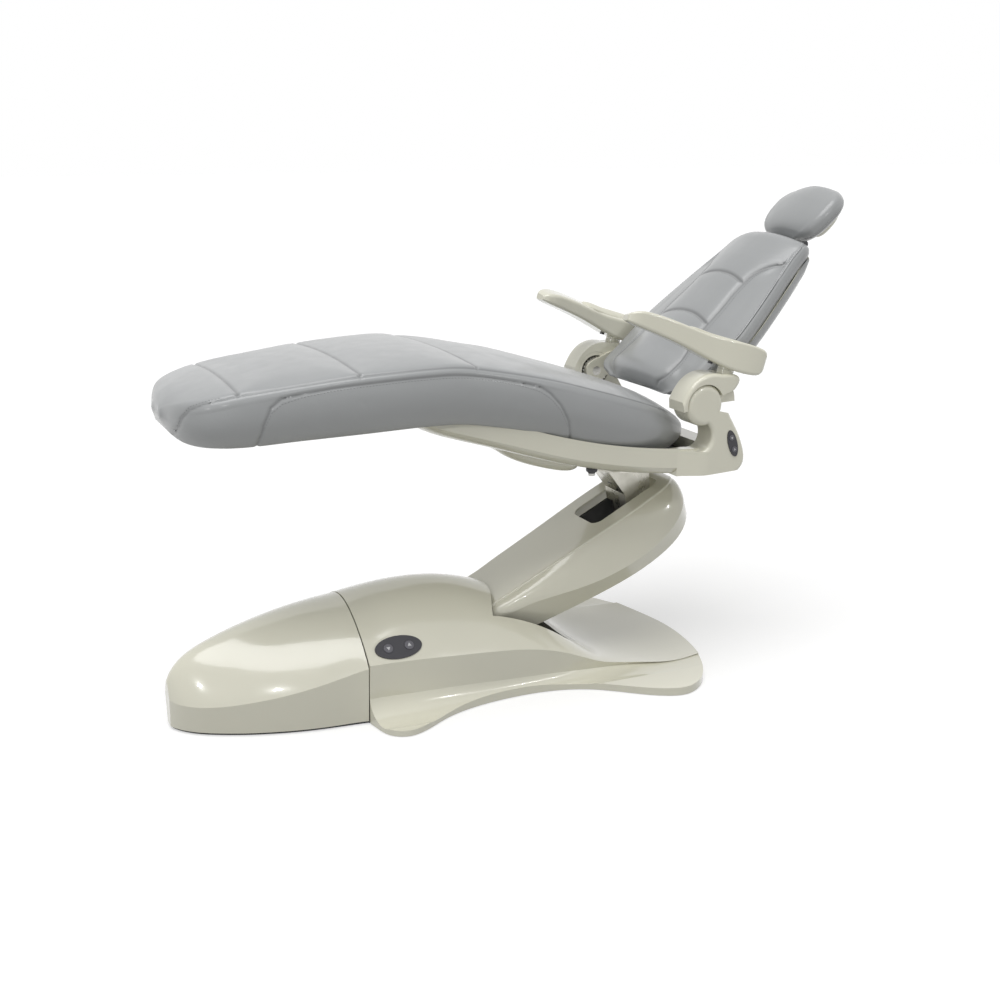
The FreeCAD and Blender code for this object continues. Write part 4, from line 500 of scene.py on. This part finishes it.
def sewn_cover(name, form, stations, turns, place, end_round):
    """Closed cover of a form, drawn as rings extruded along it, and the vertices held by its seams."""
    rings = [(x, 0.0, 0.0) for x in stations]
    for share in (0.3, 0.62, 0.86):
        out = end_round * math.sqrt(1 - (1 - share) ** 2)
        rings.insert(0, (stations[0], share, -out))
        rings.append((stations[-1], share, out))
    shape = bmesh.new()
    depth = shape.verts.layers.float.new("seam")
    held = shape.verts.layers.int.new("held")
    pulls = []
    ring = []
    for station, share, out in rings:
        half_width, low, edge, height, corner = form.sizes(station)
        if not ring:
            ring, loop = first_ring(shape, len(turns))
            first_loop = loop
        else:
            ring, loop = next_ring(shape, ring, loop)
        for turn, vert in zip(turns, ring):
            x = station
            gap, seam_x, seam_girth, drawn = 1e9, x, 0.0, 0.0
            if abs(turn) <= 3:
                gap, seam_x, seam_girth, drawn = form.seam_near(x, turn)
            if gap < SEAM_SNAP and seam_girth > 0 and share == 0:
                x = seam_x
                turn = math.copysign(min(3.0, form.turn_at(x, seam_girth)), turn)
                gap = 0.0
            point = form.point(x, turn)
            waist = max(0.0, half_width - height / 2)
            middle = Vector((point.x, math.copysign(min(abs(point.y), waist), point.y), (low + edge) / 2))
            vert.co = point.lerp(middle, share) + Vector((out, 0.0, 0.0))
            # Painted shade in the seam grooves, darker the deeper the cover is drawn in
            vert[depth] = min(1.0, drawn / SEAM_SHADE_FULL_DEPTH) * (1 - share)
            vert[held] = 1 if gap < SEAM_HOLD or abs(turn) >= 3 else 0
            pulls.append((vert, drawn * (1 - share)))
    for end in (first_loop, loop):
        lid = bmesh.ops.contextual_create(shape, geom=end)["faces"]
        bmesh.ops.poke(shape, faces=lid)
    bmesh.ops.recalc_face_normals(shape, faces=shape.faces)
    shape.normal_update()
    for vert, pull in pulls:
        vert.co -= vert.normal * pull
    bmesh.ops.transform(shape, matrix=place @ Matrix.Scale(MM, 4), verts=shape.verts)
    pinned = [k for k, vert in enumerate(shape.verts) if vert[held]]
    shape.verts.layers.int.remove(held)
    settle_order(shape)
    return make_object(shape, name), pinned


def stuff(piece, pinned, pressure, most):
    """Let the stuffing swell the cover, held along its seams and where it lies on its board."""
    scene = bpy.context.scene
    sewn = piece.vertex_groups.new(name="sewn")
    sewn.add(pinned, 1.0, "REPLACE")
    cloth = piece.modifiers.new("stuffing", "CLOTH")
    cloth.settings.vertex_group_mass = sewn.name
    cloth.settings.use_pressure = True
    cloth.settings.uniform_pressure_force = pressure
    cloth.settings.effector_weights.gravity = 0.0
    cloth.settings.bending_stiffness = 8.0
    cloth.collision_settings.use_collision = False
    cloth.point_cache.frame_end = STUFFING_FRAMES
    for number in range(1, STUFFING_FRAMES + 1):
        scene.frame_set(number)
    swollen = piece.evaluated_get(bpy.context.evaluated_depsgraph_get()).data
    for vert, there in zip(piece.data.vertices, swollen.vertices):
        move = there.co - vert.co
        vert.co += move * min(1.0, most * MM / max(move.length, 1e-9))
    piece.modifiers.remove(cloth)
    piece.vertex_groups.remove(sewn)
    scene.frame_set(1)


def upholster(piece, finish, node, body):
    """Put a finished cover in place of its solid cushion."""
    piece.data.materials.append(finish)
    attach(piece, body)
    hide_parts(node)


def along(path, gap=5.0):
    """Path of places with more places in between."""
    places = []
    for (x0, turn0), (x1, turn1) in zip(path, path[1:]):
        count = max(1, round(max(abs(x1 - x0), abs(turn1 - turn0) * TURN_LENGTH) / gap))
        for k in range(count):
            places.append((x0 + (x1 - x0) * k / count, turn0 + (turn1 - turn0) * k / count))
    return places + [path[-1]]


def stitch(name, piece, form, rows, place, finish, body, pitch):
    """Rows of top stitching on a finished cover, each stitch a short bead of thread."""
    size = (STITCH_SHARE * pitch * MM, STITCH_WIDTH * MM, STITCH_HEIGHT * MM, 1.0)
    shape = bmesh.new()
    for row in rows:
        points = []
        for x, turn in along(row):
            start = place @ (form.point(x, turn) * MM)
            found, spot, normal, face = piece.closest_point_on_mesh(start)
            points.append((spot, normal))
        gone = 0.0
        due = pitch * MM
        for (spot, normal), (following, unused) in zip(points, points[1:]):
            step = following - spot
            while step.length > 0 and due <= gone + step.length:
                ahead = step.normalized()
                across = normal.cross(ahead).normalized()
                seat = Matrix((ahead, across, normal)).transposed().to_4x4()
                seat.translation = spot + step * ((due - gone) / step.length)
                bead = seat @ Matrix.Diagonal(size)
                bmesh.ops.create_icosphere(shape, subdivisions=1, radius=1.0, matrix=bead)
                due += pitch * MM
            gone += step.length
    thread = make_object(shape, name)
    thread.data.materials.append(finish)
    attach(thread, body)


# Seat cushion, from the swivel axis: station, half width, underside, upper edge
SEAT_ROWS = [
    (-1156.0, 50.0, 216.0, 249.0),
    (-1152.0, 82.0, 204.0, 256.0),
    (-1143.0, 120.0, 193.0, 264.0),
    (-1127.0, 155.0, 184.0, 273.0),
    (-1100.0, 185.0, 179.0, 281.0),
    (-1065.0, 204.0, 177.0, 289.0),
    (-1030.0, 212.0, 176.0, 296.0),
    (-900.0, 231.0, 182.0, 311.0),
    (-777.0, 247.0, 187.0, 322.0),
    (-590.0, 264.0, 193.0, 329.0),
    (-518.0, 268.0, 188.0, 322.0),
    (-345.0, 272.0, 152.0, 286.0),
    (-220.0, 271.0, 113.0, 250.0),
    (-110.0, 264.0, 85.0, 215.0),
    (-35.0, 247.0, 73.0, 187.0),
    (22.0, 221.0, 73.0, 159.0),
    (54.0, 197.0, 83.0, 139.0),
    (68.0, 172.0, 99.0, 121.0),
]
# Seams of the seat: station and turn
SEAT_SIDE_SEAM = [
    (-993.0, 3.0), (-984.0, 2.5), (-968.0, 2.15), (-945.0, 2.0), (-905.0, 1.93), (-840.0, 1.9),
    (-480.0, 1.9), (-409.0, 1.93), (-370.0, 1.99), (-345.0, 2.1), (-320.0, 2.3), (-297.0, 2.6),
    (-280.0, 3.0),
]
SEAT_EDGE_SEAM = [
    (-1146.0, 3.0), (-1143.0, 2.6), (-1136.0, 2.1), (-1121.0, 1.7), (-1098.0, 1.5), (-1060.0, 1.45),
    (62.0, 1.45),
]
SEAT_CHANNELS = [-1030.0, -777.0, -518.0]


def seat_cushion(vinyl, thread):
    form = SewnForm(SEAT_ROWS, crown=10.0, corner=26.0, tuck=28.0)
    form.sew(SEAT_SIDE_SEAM, depth=2.6, width=3.2)
    form.sew(SEAT_EDGE_SEAM, depth=2.4, width=3.0)
    edge_turn = SEAT_EDGE_SEAM[-1][1]
    for x in SEAT_CHANNELS:
        form.sew([(x, 0.0), (x, edge_turn)], depth=3.5, width=4.0)
    close = [*SEAT_CHANNELS, (-1150.0, -1085.0), (-1000.0, -925.0), (-425.0, -272.0)]
    stations = spread(SEAT_ROWS[0][0], SEAT_ROWS[-1][0], gap=9.0, close=close, close_gap=2.6)
    turns = section_turns(
        top=[k / 16 for k in range(17)],
        corner=[0.12, 0.24, 0.34, 0.41, 0.45, 0.49, 0.56, 0.66, 0.76, 0.84, 0.9, 0.96, 1.0],
        side=38,
    )
    place = Matrix.Translation(SWIVEL)
    piece, pinned = sewn_cover("seat_upholstery", form, stations, turns, place, end_round=5.0)
    stuff(piece, pinned, pressure=4.0, most=7.0)
    upholster(piece, vinyl, "seat_cushion", "seat")
    rows = []
    for side in (-1, 1):
        rows.append([(x, side * (turn + 0.11)) for x, turn in SEAT_SIDE_SEAM[1:-1]])
        rows.append([(x, side * (turn - 0.16)) for x, turn in SEAT_EDGE_SEAM[1:-1]])
        rows.append([(-40.0, side * 1.29), (40.0, side * 1.29)])
    stitch("seat_stitches", piece, form, rows, place, thread, "seat", pitch=7.0)


# Back cushion, along the back from the hub: station, half width, rear, front edge
BACK_ROWS = [
    (0.0, 150.0, 0.0, 13.0),
    (8.0, 184.0, -12.0, 17.0),
    (28.0, 205.0, -20.0, 18.0),
    (62.0, 213.0, -24.5, 16.0),
    (100.0, 215.0, -25.8, 14.0),
    (150.0, 216.0, -26.0, 14.0),
    (225.0, 216.0, -26.0, 14.0),
    (370.0, 184.0, -26.0, 14.0),
    (470.0, 154.0, -26.0, 14.0),
    (508.0, 146.0, -25.0, 12.0),
    (524.0, 134.0, -21.0, 6.0),
    (530.0, 112.0, -16.0, -2.0),
]
# Half width of the middle panel of the back
BACK_PANEL = [
    (0.0, 100.0), (28.0, 126.0), (75.0, 128.0), (150.0, 115.0), (200.0, 106.0), (265.0, 103.0),
    (342.0, 95.0), (392.0, 99.0), (420.0, 112.0), (440.0, 130.0), (456.0, 152.0), (530.0, 190.0),
]
BACK_PANEL_TURN = 0.6
BACK_CHANNELS = [218.0, 359.0]
BACK_CHANNEL_BEND = 18.0
# How much fuller the middle panel and hollower the wings are, as shares of the crown
BACK_PANEL_SWELL = 0.14
BACK_WING_HOLLOW = 0.24


class BackForm(SewnForm):
    """Back cushion: a full middle panel between two hollow wings, with arched channels across it."""

    def panel(self, x, top):
        return min(between(BACK_PANEL, x)[0], top - 6)

    def across(self, x, turn, top):
        panel = self.panel(x, top)
        if turn <= BACK_PANEL_TURN:
            return panel * turn / BACK_PANEL_TURN
        return panel + (top - panel) * (turn - BACK_PANEL_TURN) / (1 - BACK_PANEL_TURN)

    def swell(self, x, y, top):
        panel = self.panel(x, top)
        full = 1 - (y / top) ** 2
        fade = min(1.0, max(0.0, (480.0 - x) / 60.0))
        if y < panel:
            return full + BACK_PANEL_SWELL * fade * (1 - (y / panel) ** 4)
        share = (y - panel) / (top - panel)
        return full - BACK_WING_HOLLOW * fade * math.sin(math.pi * share)

    def slip(self, x, y):
        ease = min(1.0, max(0.0, x - 20.0) / 120.0, max(0.0, 500.0 - x) / 90.0)
        return BACK_CHANNEL_BEND * ease * min(1.0, y / 100.0) ** 2.2


def back_place():
    """Turns a form that lies along x up to the slope of the back, at the hub."""
    rise = math.atan2(ALONG_BACK.z, ALONG_BACK.x)
    return Matrix.Translation(HUB) @ Matrix.Rotation(-rise, 4, "Y")


def back_cushion(vinyl, thread):
    form = BackForm(BACK_ROWS, crown=34.0, corner=11.0, tuck=8.0)
    wing = [(10.0, BACK_PANEL_TURN), (452.0, BACK_PANEL_TURN)]
    edge = [(4.0, 1.5), (526.0, 1.5)]
    form.sew(wing, depth=3.4, width=4.0)
    form.sew(edge, depth=1.8, width=2.6)
    for x in BACK_CHANNELS:
        form.sew([(x, 0.0), (x, BACK_PANEL_TURN)], depth=3.4, width=4.0)
    close = [*BACK_CHANNELS, (440.0, 466.0)]
    stations = spread(BACK_ROWS[0][0], BACK_ROWS[-1][0], gap=8.0, close=close, close_gap=2.6)
    top = [k * BACK_PANEL_TURN / 12 for k in range(12)]
    top += [BACK_PANEL_TURN + shift for shift in (-0.016, 0.0, 0.02, 0.05)]
    top += [BACK_PANEL_TURN + 0.4 * k / 10 for k in range(2, 11)]
    turns = section_turns(top, corner=[0.15, 0.3, 0.42, 0.5, 0.58, 0.7, 0.85, 1.0], side=8)
    place = back_place()
    piece, pinned = sewn_cover("back_upholstery", form, stations, turns, place, end_round=4.0)
    stuff(piece, pinned, pressure=4.0, most=6.0)
    upholster(piece, vinyl, "back_cushion", "back")
    rows = []
    for side in (-1, 1):
        rows.append([(x, side * (BACK_PANEL_TURN + 0.05)) for x in (10.0, 425.0)])
        rows.append([(x, side * 1.22) for x, turn in edge])
        for x in BACK_CHANNELS:
            rows.append([(x - 6.0, 0.0), (x - 6.0, side * (BACK_PANEL_TURN - 0.03))])
    stitch("back_stitches", piece, form, rows, place, thread, "back", pitch=6.0)


# Trim round the edge of the back's shell: station, radius of the shell's edge towards its rear
TRIM_ROWS = [(157.0, 32.0), (225.0, 32.0), (300.0, 32.0), (370.0, 32.0), (470.0, 32.0), (504.0, 17.0)]
# Radius of the shell's edge towards its side
TRIM_SIDE_RADIUS = 32.0
TRIM_INSET = 8.0
TRIM_RIM = -26.5
TRIM_THICKNESS = 2.2
# The strip's inner face stands this far off the shell, and each face has so many points across it
TRIM_CLEAR = 0.7
TRIM_POINTS = 9
TRIM_WRAP = math.radians(64.0)
TRIM_CREASE = math.radians(50.0)


def back_trim(vinyl, name, side):
    """Strip of vinyl trim on the edge of the back's shell, bent round it and glued."""
    shape = bmesh.new()
    ring = []
    for u in spread(TRIM_ROWS[0][0], TRIM_ROWS[-1][0], gap=9.0):
        edge = between(BACK_ROWS, u)[0] - TRIM_INSET
        rear = between(TRIM_ROWS, u)[0]
        centre = edge - TRIM_SIDE_RADIUS
        if not ring:
            ring, loop = first_ring(shape, 2 * TRIM_POINTS)
            first_loop = loop
        else:
            ring, loop = next_ring(shape, ring, loop)
        for k, vert in enumerate(ring):
            outer = k < TRIM_POINTS
            angle = TRIM_WRAP * (k if outer else 2 * TRIM_POINTS - 1 - k) / (TRIM_POINTS - 1)
            out = TRIM_CLEAR + (TRIM_THICKNESS if outer else 0.0)
            y = centre + (TRIM_SIDE_RADIUS + out) * math.cos(angle)
            vert.co = (u, side * y, TRIM_RIM - (rear + out) * math.sin(angle))
    for end in (first_loop, loop):
        bmesh.ops.contextual_create(shape, geom=end)
    bmesh.ops.recalc_face_normals(shape, faces=shape.faces)
    bmesh.ops.transform(shape, matrix=back_place() @ Matrix.Scale(MM, 4), verts=shape.verts)
    settle_order(shape)
    trim = make_object(shape, name)
    trim.data.set_sharp_from_angle(angle=TRIM_CREASE)
    trim.data.materials.append(vinyl)
    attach(trim, "back")


# Headrest cushion, along the back from the hub: station, half width, rear, front edge
HEAD_ROWS = [
    (554.0, 50.0, -24.0, -8.0),
    (560.0, 78.0, -34.0, 0.0),
    (578.0, 100.0, -41.0, 9.0),
    (612.0, 112.0, -44.0, 14.0),
    (650.0, 114.0, -44.0, 15.0),
    (688.0, 102.0, -42.0, 11.0),
    (710.0, 79.0, -35.0, 3.0),
    (721.0, 50.0, -26.0, -7.0),
]
# Recess in the headrest's rear: last station, half width, floor, and how far its sides are pushed out
HEAD_RECESS_END = 602.0
HEAD_RECESS_HALF_WIDTH = 50.0
HEAD_RECESS_FLOOR = -30.0
HEAD_RECESS_PUSH = 20.0


class HeadrestForm(SewnForm):
    """Headrest cushion, with a recess in its rear for the knuckle and its knob."""

    def point(self, x, turn):
        place = super().point(x, turn)
        if abs(turn) > 3.2 and x < HEAD_RECESS_END:
            place.z = max(place.z, HEAD_RECESS_FLOOR)
            if abs(turn) < 3.9:
                out = min(abs(place.y) + HEAD_RECESS_PUSH, HEAD_RECESS_HALF_WIDTH)
                place.y = math.copysign(out, place.y)
        return place


def headrest_cushion(vinyl, thread):
    form = HeadrestForm(HEAD_ROWS, crown=15.0, corner=18.0, tuck=34.0)
    edge = [(558.0, 2.4), (650.0, 2.4), (717.0, 2.4)]
    form.sew(edge, depth=1.8, width=2.4)
    stations = spread(HEAD_ROWS[0][0], HEAD_ROWS[-1][0], gap=5.0)
    turns = section_turns([k / 12 for k in range(13)], [k / 8 for k in range(1, 9)], side=20)
    place = back_place()
    piece, pinned = sewn_cover("headrest_upholstery", form, stations, turns, place, end_round=4.0)
    stuff(piece, pinned, pressure=3.0, most=4.0)
    upholster(piece, vinyl, "headrest_cushion", "headrest")
    rows = [[(x, side * (turn - 0.12)) for x, turn in edge] for side in (-1, 1)]
    stitch("headrest_stitches", piece, form, rows, place, thread, "headrest", pitch=6.0)


# Armrest pad, from the top of its post: station towards the tip, half width, underside, edge
ARMREST_ROWS = [
    (-52.0, 13.0, 58.0, 62.0),
    (-49.0, 19.0, 58.0, 64.0),
    (-34.0, 23.0, 58.5, 66.0),
    (63.0, 23.0, 59.0, 66.5),
    (108.0, 23.0, 62.5, 70.5),
    (126.0, 19.0, 65.0, 71.0),
    (130.0, 13.0, 66.5, 69.5),
]
ARMREST_TOE_IN = math.radians(10.0)
ARMREST_FALL = 15.0 / 64.0


def armrest_pad(skin, name, side):
    joint = JOINTS["armrest_" + name + "_swing"]
    up = Vector(joint["axis"]) * (1 if joint["axis"][2] > 0 else -1)
    tilt = math.atan2(up.x, up.z)
    fall = Matrix.Identity(4)
    fall[2][1] = -side * ARMREST_FALL
    place = Matrix.Translation(Vector(joint["pos_m"])) @ Matrix.Rotation(tilt, 4, "Y")
    place = place @ Matrix.Rotation(math.pi + side * ARMREST_TOE_IN, 4, "Z") @ fall
    form = SewnForm(ARMREST_ROWS, crown=22.0, corner=4.0, tuck=2.0)
    stations = spread(ARMREST_ROWS[0][0], ARMREST_ROWS[-1][0], gap=5.0)
    turns = section_turns([k / 8 for k in range(9)], [0.25, 0.5, 0.75, 1.0], side=4)
    piece, pinned = sewn_cover("armrest_cushion_" + name, form, stations, turns, place, end_round=1.5)
    stuff(piece, pinned, pressure=2.0, most=1.2)
    upholster(piece, skin, "armrest_pad_" + name, "armrest_" + name)


# Marks on the buttons: their size as a share of the button, how far they stand up, and their soft edge
MARK_SHARE = 0.5
MARK_HEIGHT = 0.6
MARK_EDGE = 0.2


def button_mark(node, body, out, up, finish):
    """Raised arrow head on the face of a button."""
    button = frame["nodes"][node]
    corners = [vert.co for vert in button.data.vertices]
    face = max(corner.dot(out) for corner in corners)
    low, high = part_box(node)
    middle = (Vector(low) + Vector(high)) / 2
    middle += out * (face - middle.dot(out))
    radius = max((corner - middle).cross(out).length for corner in corners)
    across = up.cross(out).normalized()
    seat = Matrix((up, across * -1, out)).transposed().to_4x4()
    seat.translation = middle
    shape = bmesh.new()
    bmesh.ops.create_circle(shape, cap_ends=True, segments=3, radius=MARK_SHARE * radius)
    faces = bmesh.ops.extrude_face_region(shape, geom=shape.faces[:])["geom"]
    lifted = [item for item in faces if isinstance(item, bmesh.types.BMVert)]
    bmesh.ops.translate(shape, verts=lifted, vec=(0.0, 0.0, MARK_HEIGHT * MM))
    bmesh.ops.bevel(
        shape, geom=shape.edges[:], offset=MARK_EDGE * MM, segments=2, profile=0.5, affect="EDGES",
        material=-1,
    )
    bmesh.ops.recalc_face_normals(shape, faces=shape.faces)
    bmesh.ops.transform(shape, matrix=seat @ Matrix.Rotation(math.pi / 2, 4, "Z"), verts=shape.verts)
    mark = make_object(shape, node + "_mark", smooth=False)
    mark.data.materials.append(finish)
    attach(mark, body)


# Settings, operators and panel

class CHAIR_PG_colours(bpy.types.PropertyGroup):
    """Colours of the chair's finishes."""

    shell: bpy.props.FloatVectorProperty(
        name="Shells", description="Moulded covers and armrests", subtype="COLOR", size=4,
        min=0.0, max=1.0, default=linear("dddbca"),
    )
    vinyl: bpy.props.FloatVectorProperty(
        name="Upholstery", description="Vinyl of the cushions", subtype="COLOR", size=4,
        min=0.0, max=1.0, default=linear("9a9c9d"),
    )
    pad: bpy.props.FloatVectorProperty(
        name="Control pads", description="Plates behind the buttons", subtype="COLOR", size=4,
        min=0.0, max=1.0, default=linear("2b2a31"),
    )


class CHAIR_PG_studio(bpy.types.PropertyGroup):
    """Light of the studio."""

    key: bpy.props.FloatProperty(
        name="Key light", description="Strength of the broad light from above", default=1.9, min=0.0,
    )
    sparkle: bpy.props.FloatProperty(
        name="Sparkle", description="Power of each small lamp", default=4.6, min=0.0, unit="POWER",
    )
    sky: bpy.props.FloatProperty(
        name="Sky", description="Strength of the even light from all round", default=0.42, min=0.0,
    )
    lens: bpy.props.FloatProperty(
        name="Lens", description="Focal length", default=46.8, min=1.0, unit="CAMERA",
    )


# Places of the small lamps, the point they face, and how wide they are
LAMPS = [(-1.9, -2.4, 1.9), (1.2, -2.4, 1.9), (-3.0, -1.5, 1.7), (-0.5, -3.2, 2.6)]
LAMP_AIM = Vector((0.0, 0.0, 0.4))
LAMP_SIZE = 0.16
# Way the key light shines, and how wide it looks
KEY_AHEAD = Vector((0.2, 0.17, -0.95))
KEY_WIDTH = math.radians(48.0)
# Camera: its turn from straight across the chair, its tilt down, the point it faces and how far off
CAMERA_YAW = math.radians(25.5)
CAMERA_PITCH = math.radians(15.8)
CAMERA_AIM = Vector((0.0, 0.0, 0.438))
CAMERA_DISTANCE = 3.215
FLOOR_HALF_SIZE = 40.0
FLOOR_GLOW = 0.48


class CHAIR_OT_finishes(bpy.types.Operator):
    """Give every rigid piece the finish of its material slot"""

    bl_idname = "chair.finishes"
    bl_label = "Finishes"

    def execute(self, context):
        colours = context.scene.chair_colours
        shell = tuple(colours.shell)
        finishes = {
            "shell": gloss_abs(shell, darker(shell, 0.93)),
            "upholstery": powder_coat(linear("3a3b3c"), linear("2c2d2e")),
            "armrest": soft_skin(shell, darker(shell, 0.93)),
            "frame": powder_coat(linear("3a3b3c"), linear("2c2d2e")),
            "steel": turned_steel(linear("c6c5c1"), linear("96958f")),
            "cast": cast_aluminium(linear("cfcdc4"), linear("a9a79d")),
            "dark": dark_abs("dark_abs_navy", tuple(colours.pad), darker(colours.pad, 0.75)),
            "button": dark_abs("dark_abs_grey", linear("5f5e65"), linear("504f56")),
        }
        for entry in frame["record"]["subparts"]:
            materials = frame["nodes"][entry["node"]].data.materials
            materials.clear()
            materials.append(finishes[entry["material_slot"]])
        return {"FINISHED"}


class CHAIR_OT_cushions(bpy.types.Operator):
    """Upholster the seat, the back and the headrest"""

    bl_idname = "chair.cushions"
    bl_label = "Cushions"

    def execute(self, context):
        colour = tuple(context.scene.chair_colours.vinyl)
        # The third colour is the painted shade of the seam grooves
        vinyl = upholstery_vinyl(colour, darker(colour, 0.9), darker(colour, 0.3))
        thread = polyester_thread(darker(colour, 0.8), darker(colour, 0.5))
        seat_cushion(vinyl, thread)
        back_cushion(vinyl, thread)
        headrest_cushion(vinyl, thread)
        back_trim(vinyl, "back_trim_near", -1)
        back_trim(vinyl, "back_trim_far", 1)
        return {"FINISHED"}


class CHAIR_OT_armrest_pads(bpy.types.Operator):
    """Lay the soft pads on the armrests"""

    bl_idname = "chair.armrest_pads"
    bl_label = "Armrest pads"

    def execute(self, context):
        shell = tuple(context.scene.chair_colours.shell)
        skin = soft_skin(shell, darker(shell, 0.9))
        armrest_pad(skin, "near", -1)
        armrest_pad(skin, "far", 1)
        return {"FINISHED"}


class CHAIR_OT_button_marks(bpy.types.Operator):
    """Put a plain arrow head on each push button"""

    bl_idname = "chair.button_marks"
    bl_label = "Button marks"

    def execute(self, context):
        white = dark_abs("moulded_abs_white", linear("c9cacb"), linear("b4b5b6"))
        out = -Vector(JOINTS["base_button_front_press"]["axis"])
        up = (Vector((0.0, 0.0, 1.0)) - out * out.z).normalized()
        button_mark("base_button_front", "base_button_front", out, up, white)
        button_mark("base_button_rear", "base_button_rear", out, -up, white)
        out = -Vector(JOINTS["yoke_button_low_press"]["axis"])
        up = Vector((-0.3, 0.0, 0.95)).normalized()
        button_mark("yoke_button_high", "yoke_button_high", out, up, white)
        button_mark("yoke_button_low", "yoke_button_low", out, -up, white)
        return {"FINISHED"}


class CHAIR_OT_studio(bpy.types.Operator):
    """Lay the pale floor, and set the light and the camera"""

    bl_idname = "chair.studio"
    bl_label = "Studio"

    def execute(self, context):
        scene = context.scene
        studio = scene.chair_studio
        self.floor()
        self.sky(scene, studio.sky)
        key = bpy.data.lights.new("key", "SUN")
        key.energy = studio.key
        key.angle = KEY_WIDTH
        self.aim(scene, key, Vector((0.0, 0.0, 3.0)), KEY_AHEAD)
        for number, spot in enumerate(LAMPS):
            lamp = bpy.data.lights.new("sparkle_%d" % number, "AREA")
            lamp.shape = "DISK"
            lamp.size = LAMP_SIZE
            lamp.energy = studio.sparkle
            self.aim(scene, lamp, Vector(spot), LAMP_AIM - Vector(spot))
        camera = bpy.data.cameras.new("camera")
        camera.sensor_width = 36.0
        camera.lens = studio.lens
        level = math.cos(CAMERA_PITCH)
        ahead = Vector((math.sin(CAMERA_YAW) * level, math.cos(CAMERA_YAW) * level, -math.sin(CAMERA_PITCH)))
        scene.camera = self.aim(scene, camera, CAMERA_AIM - ahead * CAMERA_DISTANCE, ahead)
        scene.view_settings.view_transform = "Standard"
        return {"FINISHED"}

    def aim(self, scene, data, spot, ahead):
        """Light or camera at a spot, facing the way given."""
        made = bpy.data.objects.new(data.name, data)
        made.location = spot
        made.rotation_mode = "QUATERNION"
        made.rotation_quaternion = ahead.to_track_quat("-Z", "Y")
        scene.collection.objects.link(made)
        return made

    def floor(self):
        """Pale paper under the chair, which glows a little to the camera so that it runs into the sky."""
        shape = bmesh.new()
        bmesh.ops.create_grid(shape, x_segments=2, y_segments=2, size=FLOOR_HALF_SIZE)
        paper = make_object(shape, "floor", smooth=False)
        finish, tree, shader, place = start_finish("matt_paper_white", {
            "Roughness": 0.9, "Specular IOR Level": 0.1, "Emission Color": (1.0, 1.0, 1.0, 1.0),
        })
        seen = self.seen(tree)
        tone = add(tree, "ShaderNodeMix", {
            "Factor": seen, "A": linear("a0a09e"), "B": linear("c6c6c6"),
        }, data_type="RGBA")
        glow = add(tree, "ShaderNodeMath", {0: seen, 1: FLOOR_GLOW}, operation="MULTIPLY")
        tree.links.new(tone.outputs["Result"], shader.inputs["Base Color"])
        tree.links.new(glow.outputs["Value"], shader.inputs["Emission Strength"])
        paper.data.materials.append(finish)
        paper.location.z = -0.5 * MM

    def seen(self, tree):
        """Socket that is 1 for what the camera sees, straight or in a reflection or through glass."""
        rays = add(tree, "ShaderNodeLightPath", {})
        direct = add(tree, "ShaderNodeMath", {
            0: rays.outputs["Is Camera Ray"], 1: rays.outputs["Is Glossy Ray"],
        }, operation="MAXIMUM")
        return add(tree, "ShaderNodeMath", {
            0: direct.outputs["Value"], 1: rays.outputs["Is Transmission Ray"],
        }, operation="MAXIMUM").outputs["Value"]

    def sky(self, scene, strength):
        """Even sky that looks white to the camera and in reflections."""
        world = bpy.data.worlds.new("studio")
        scene.world = world
        world.use_nodes = True
        tree = world.node_tree
        white = tree.nodes["Background"]
        level = add(tree, "ShaderNodeMapRange", {
            "Value": self.seen(tree), "To Min": strength, "To Max": 1.0,
        })
        white.inputs["Color"].default_value = (1.0, 1.0, 1.0, 1.0)
        tree.links.new(level.outputs["Result"], white.inputs["Strength"])


class CHAIR_PT_chair(bpy.types.Panel):
    """Sidebar panel of the chair's parts"""

    bl_idname = "CHAIR_PT_chair"
    bl_label = "Dental chair"
    bl_space_type = "VIEW_3D"
    bl_region_type = "UI"
    bl_category = "Chair"

    def draw(self, context):
        for group in (context.scene.chair_colours, context.scene.chair_studio):
            for name in group.__annotations__:
                self.layout.prop(group, name)
        for operator in STEPS:
            self.layout.operator(operator.bl_idname)


STEPS = (
    CHAIR_OT_studio, CHAIR_OT_finishes, CHAIR_OT_cushions, CHAIR_OT_armrest_pads, CHAIR_OT_button_marks,
)
CLASSES = (CHAIR_PG_colours, CHAIR_PG_studio, *STEPS, CHAIR_PT_chair)


def register():
    for item in CLASSES:
        bpy.utils.register_class(item)
    bpy.types.Scene.chair_colours = bpy.props.PointerProperty(type=CHAIR_PG_colours)
    bpy.types.Scene.chair_studio = bpy.props.PointerProperty(type=CHAIR_PG_studio)


def unregister():
    del bpy.types.Scene.chair_studio
    del bpy.types.Scene.chair_colours
    for item in reversed(CLASSES):
        bpy.utils.unregister_class(item)


def main():
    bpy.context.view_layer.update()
    register()
    bpy.ops.chair.studio()
    bpy.ops.chair.finishes()
    bpy.ops.chair.cushions()
    bpy.ops.chair.armrest_pads()
    bpy.ops.chair.button_marks()


if __name__ == "__main__":
    main()
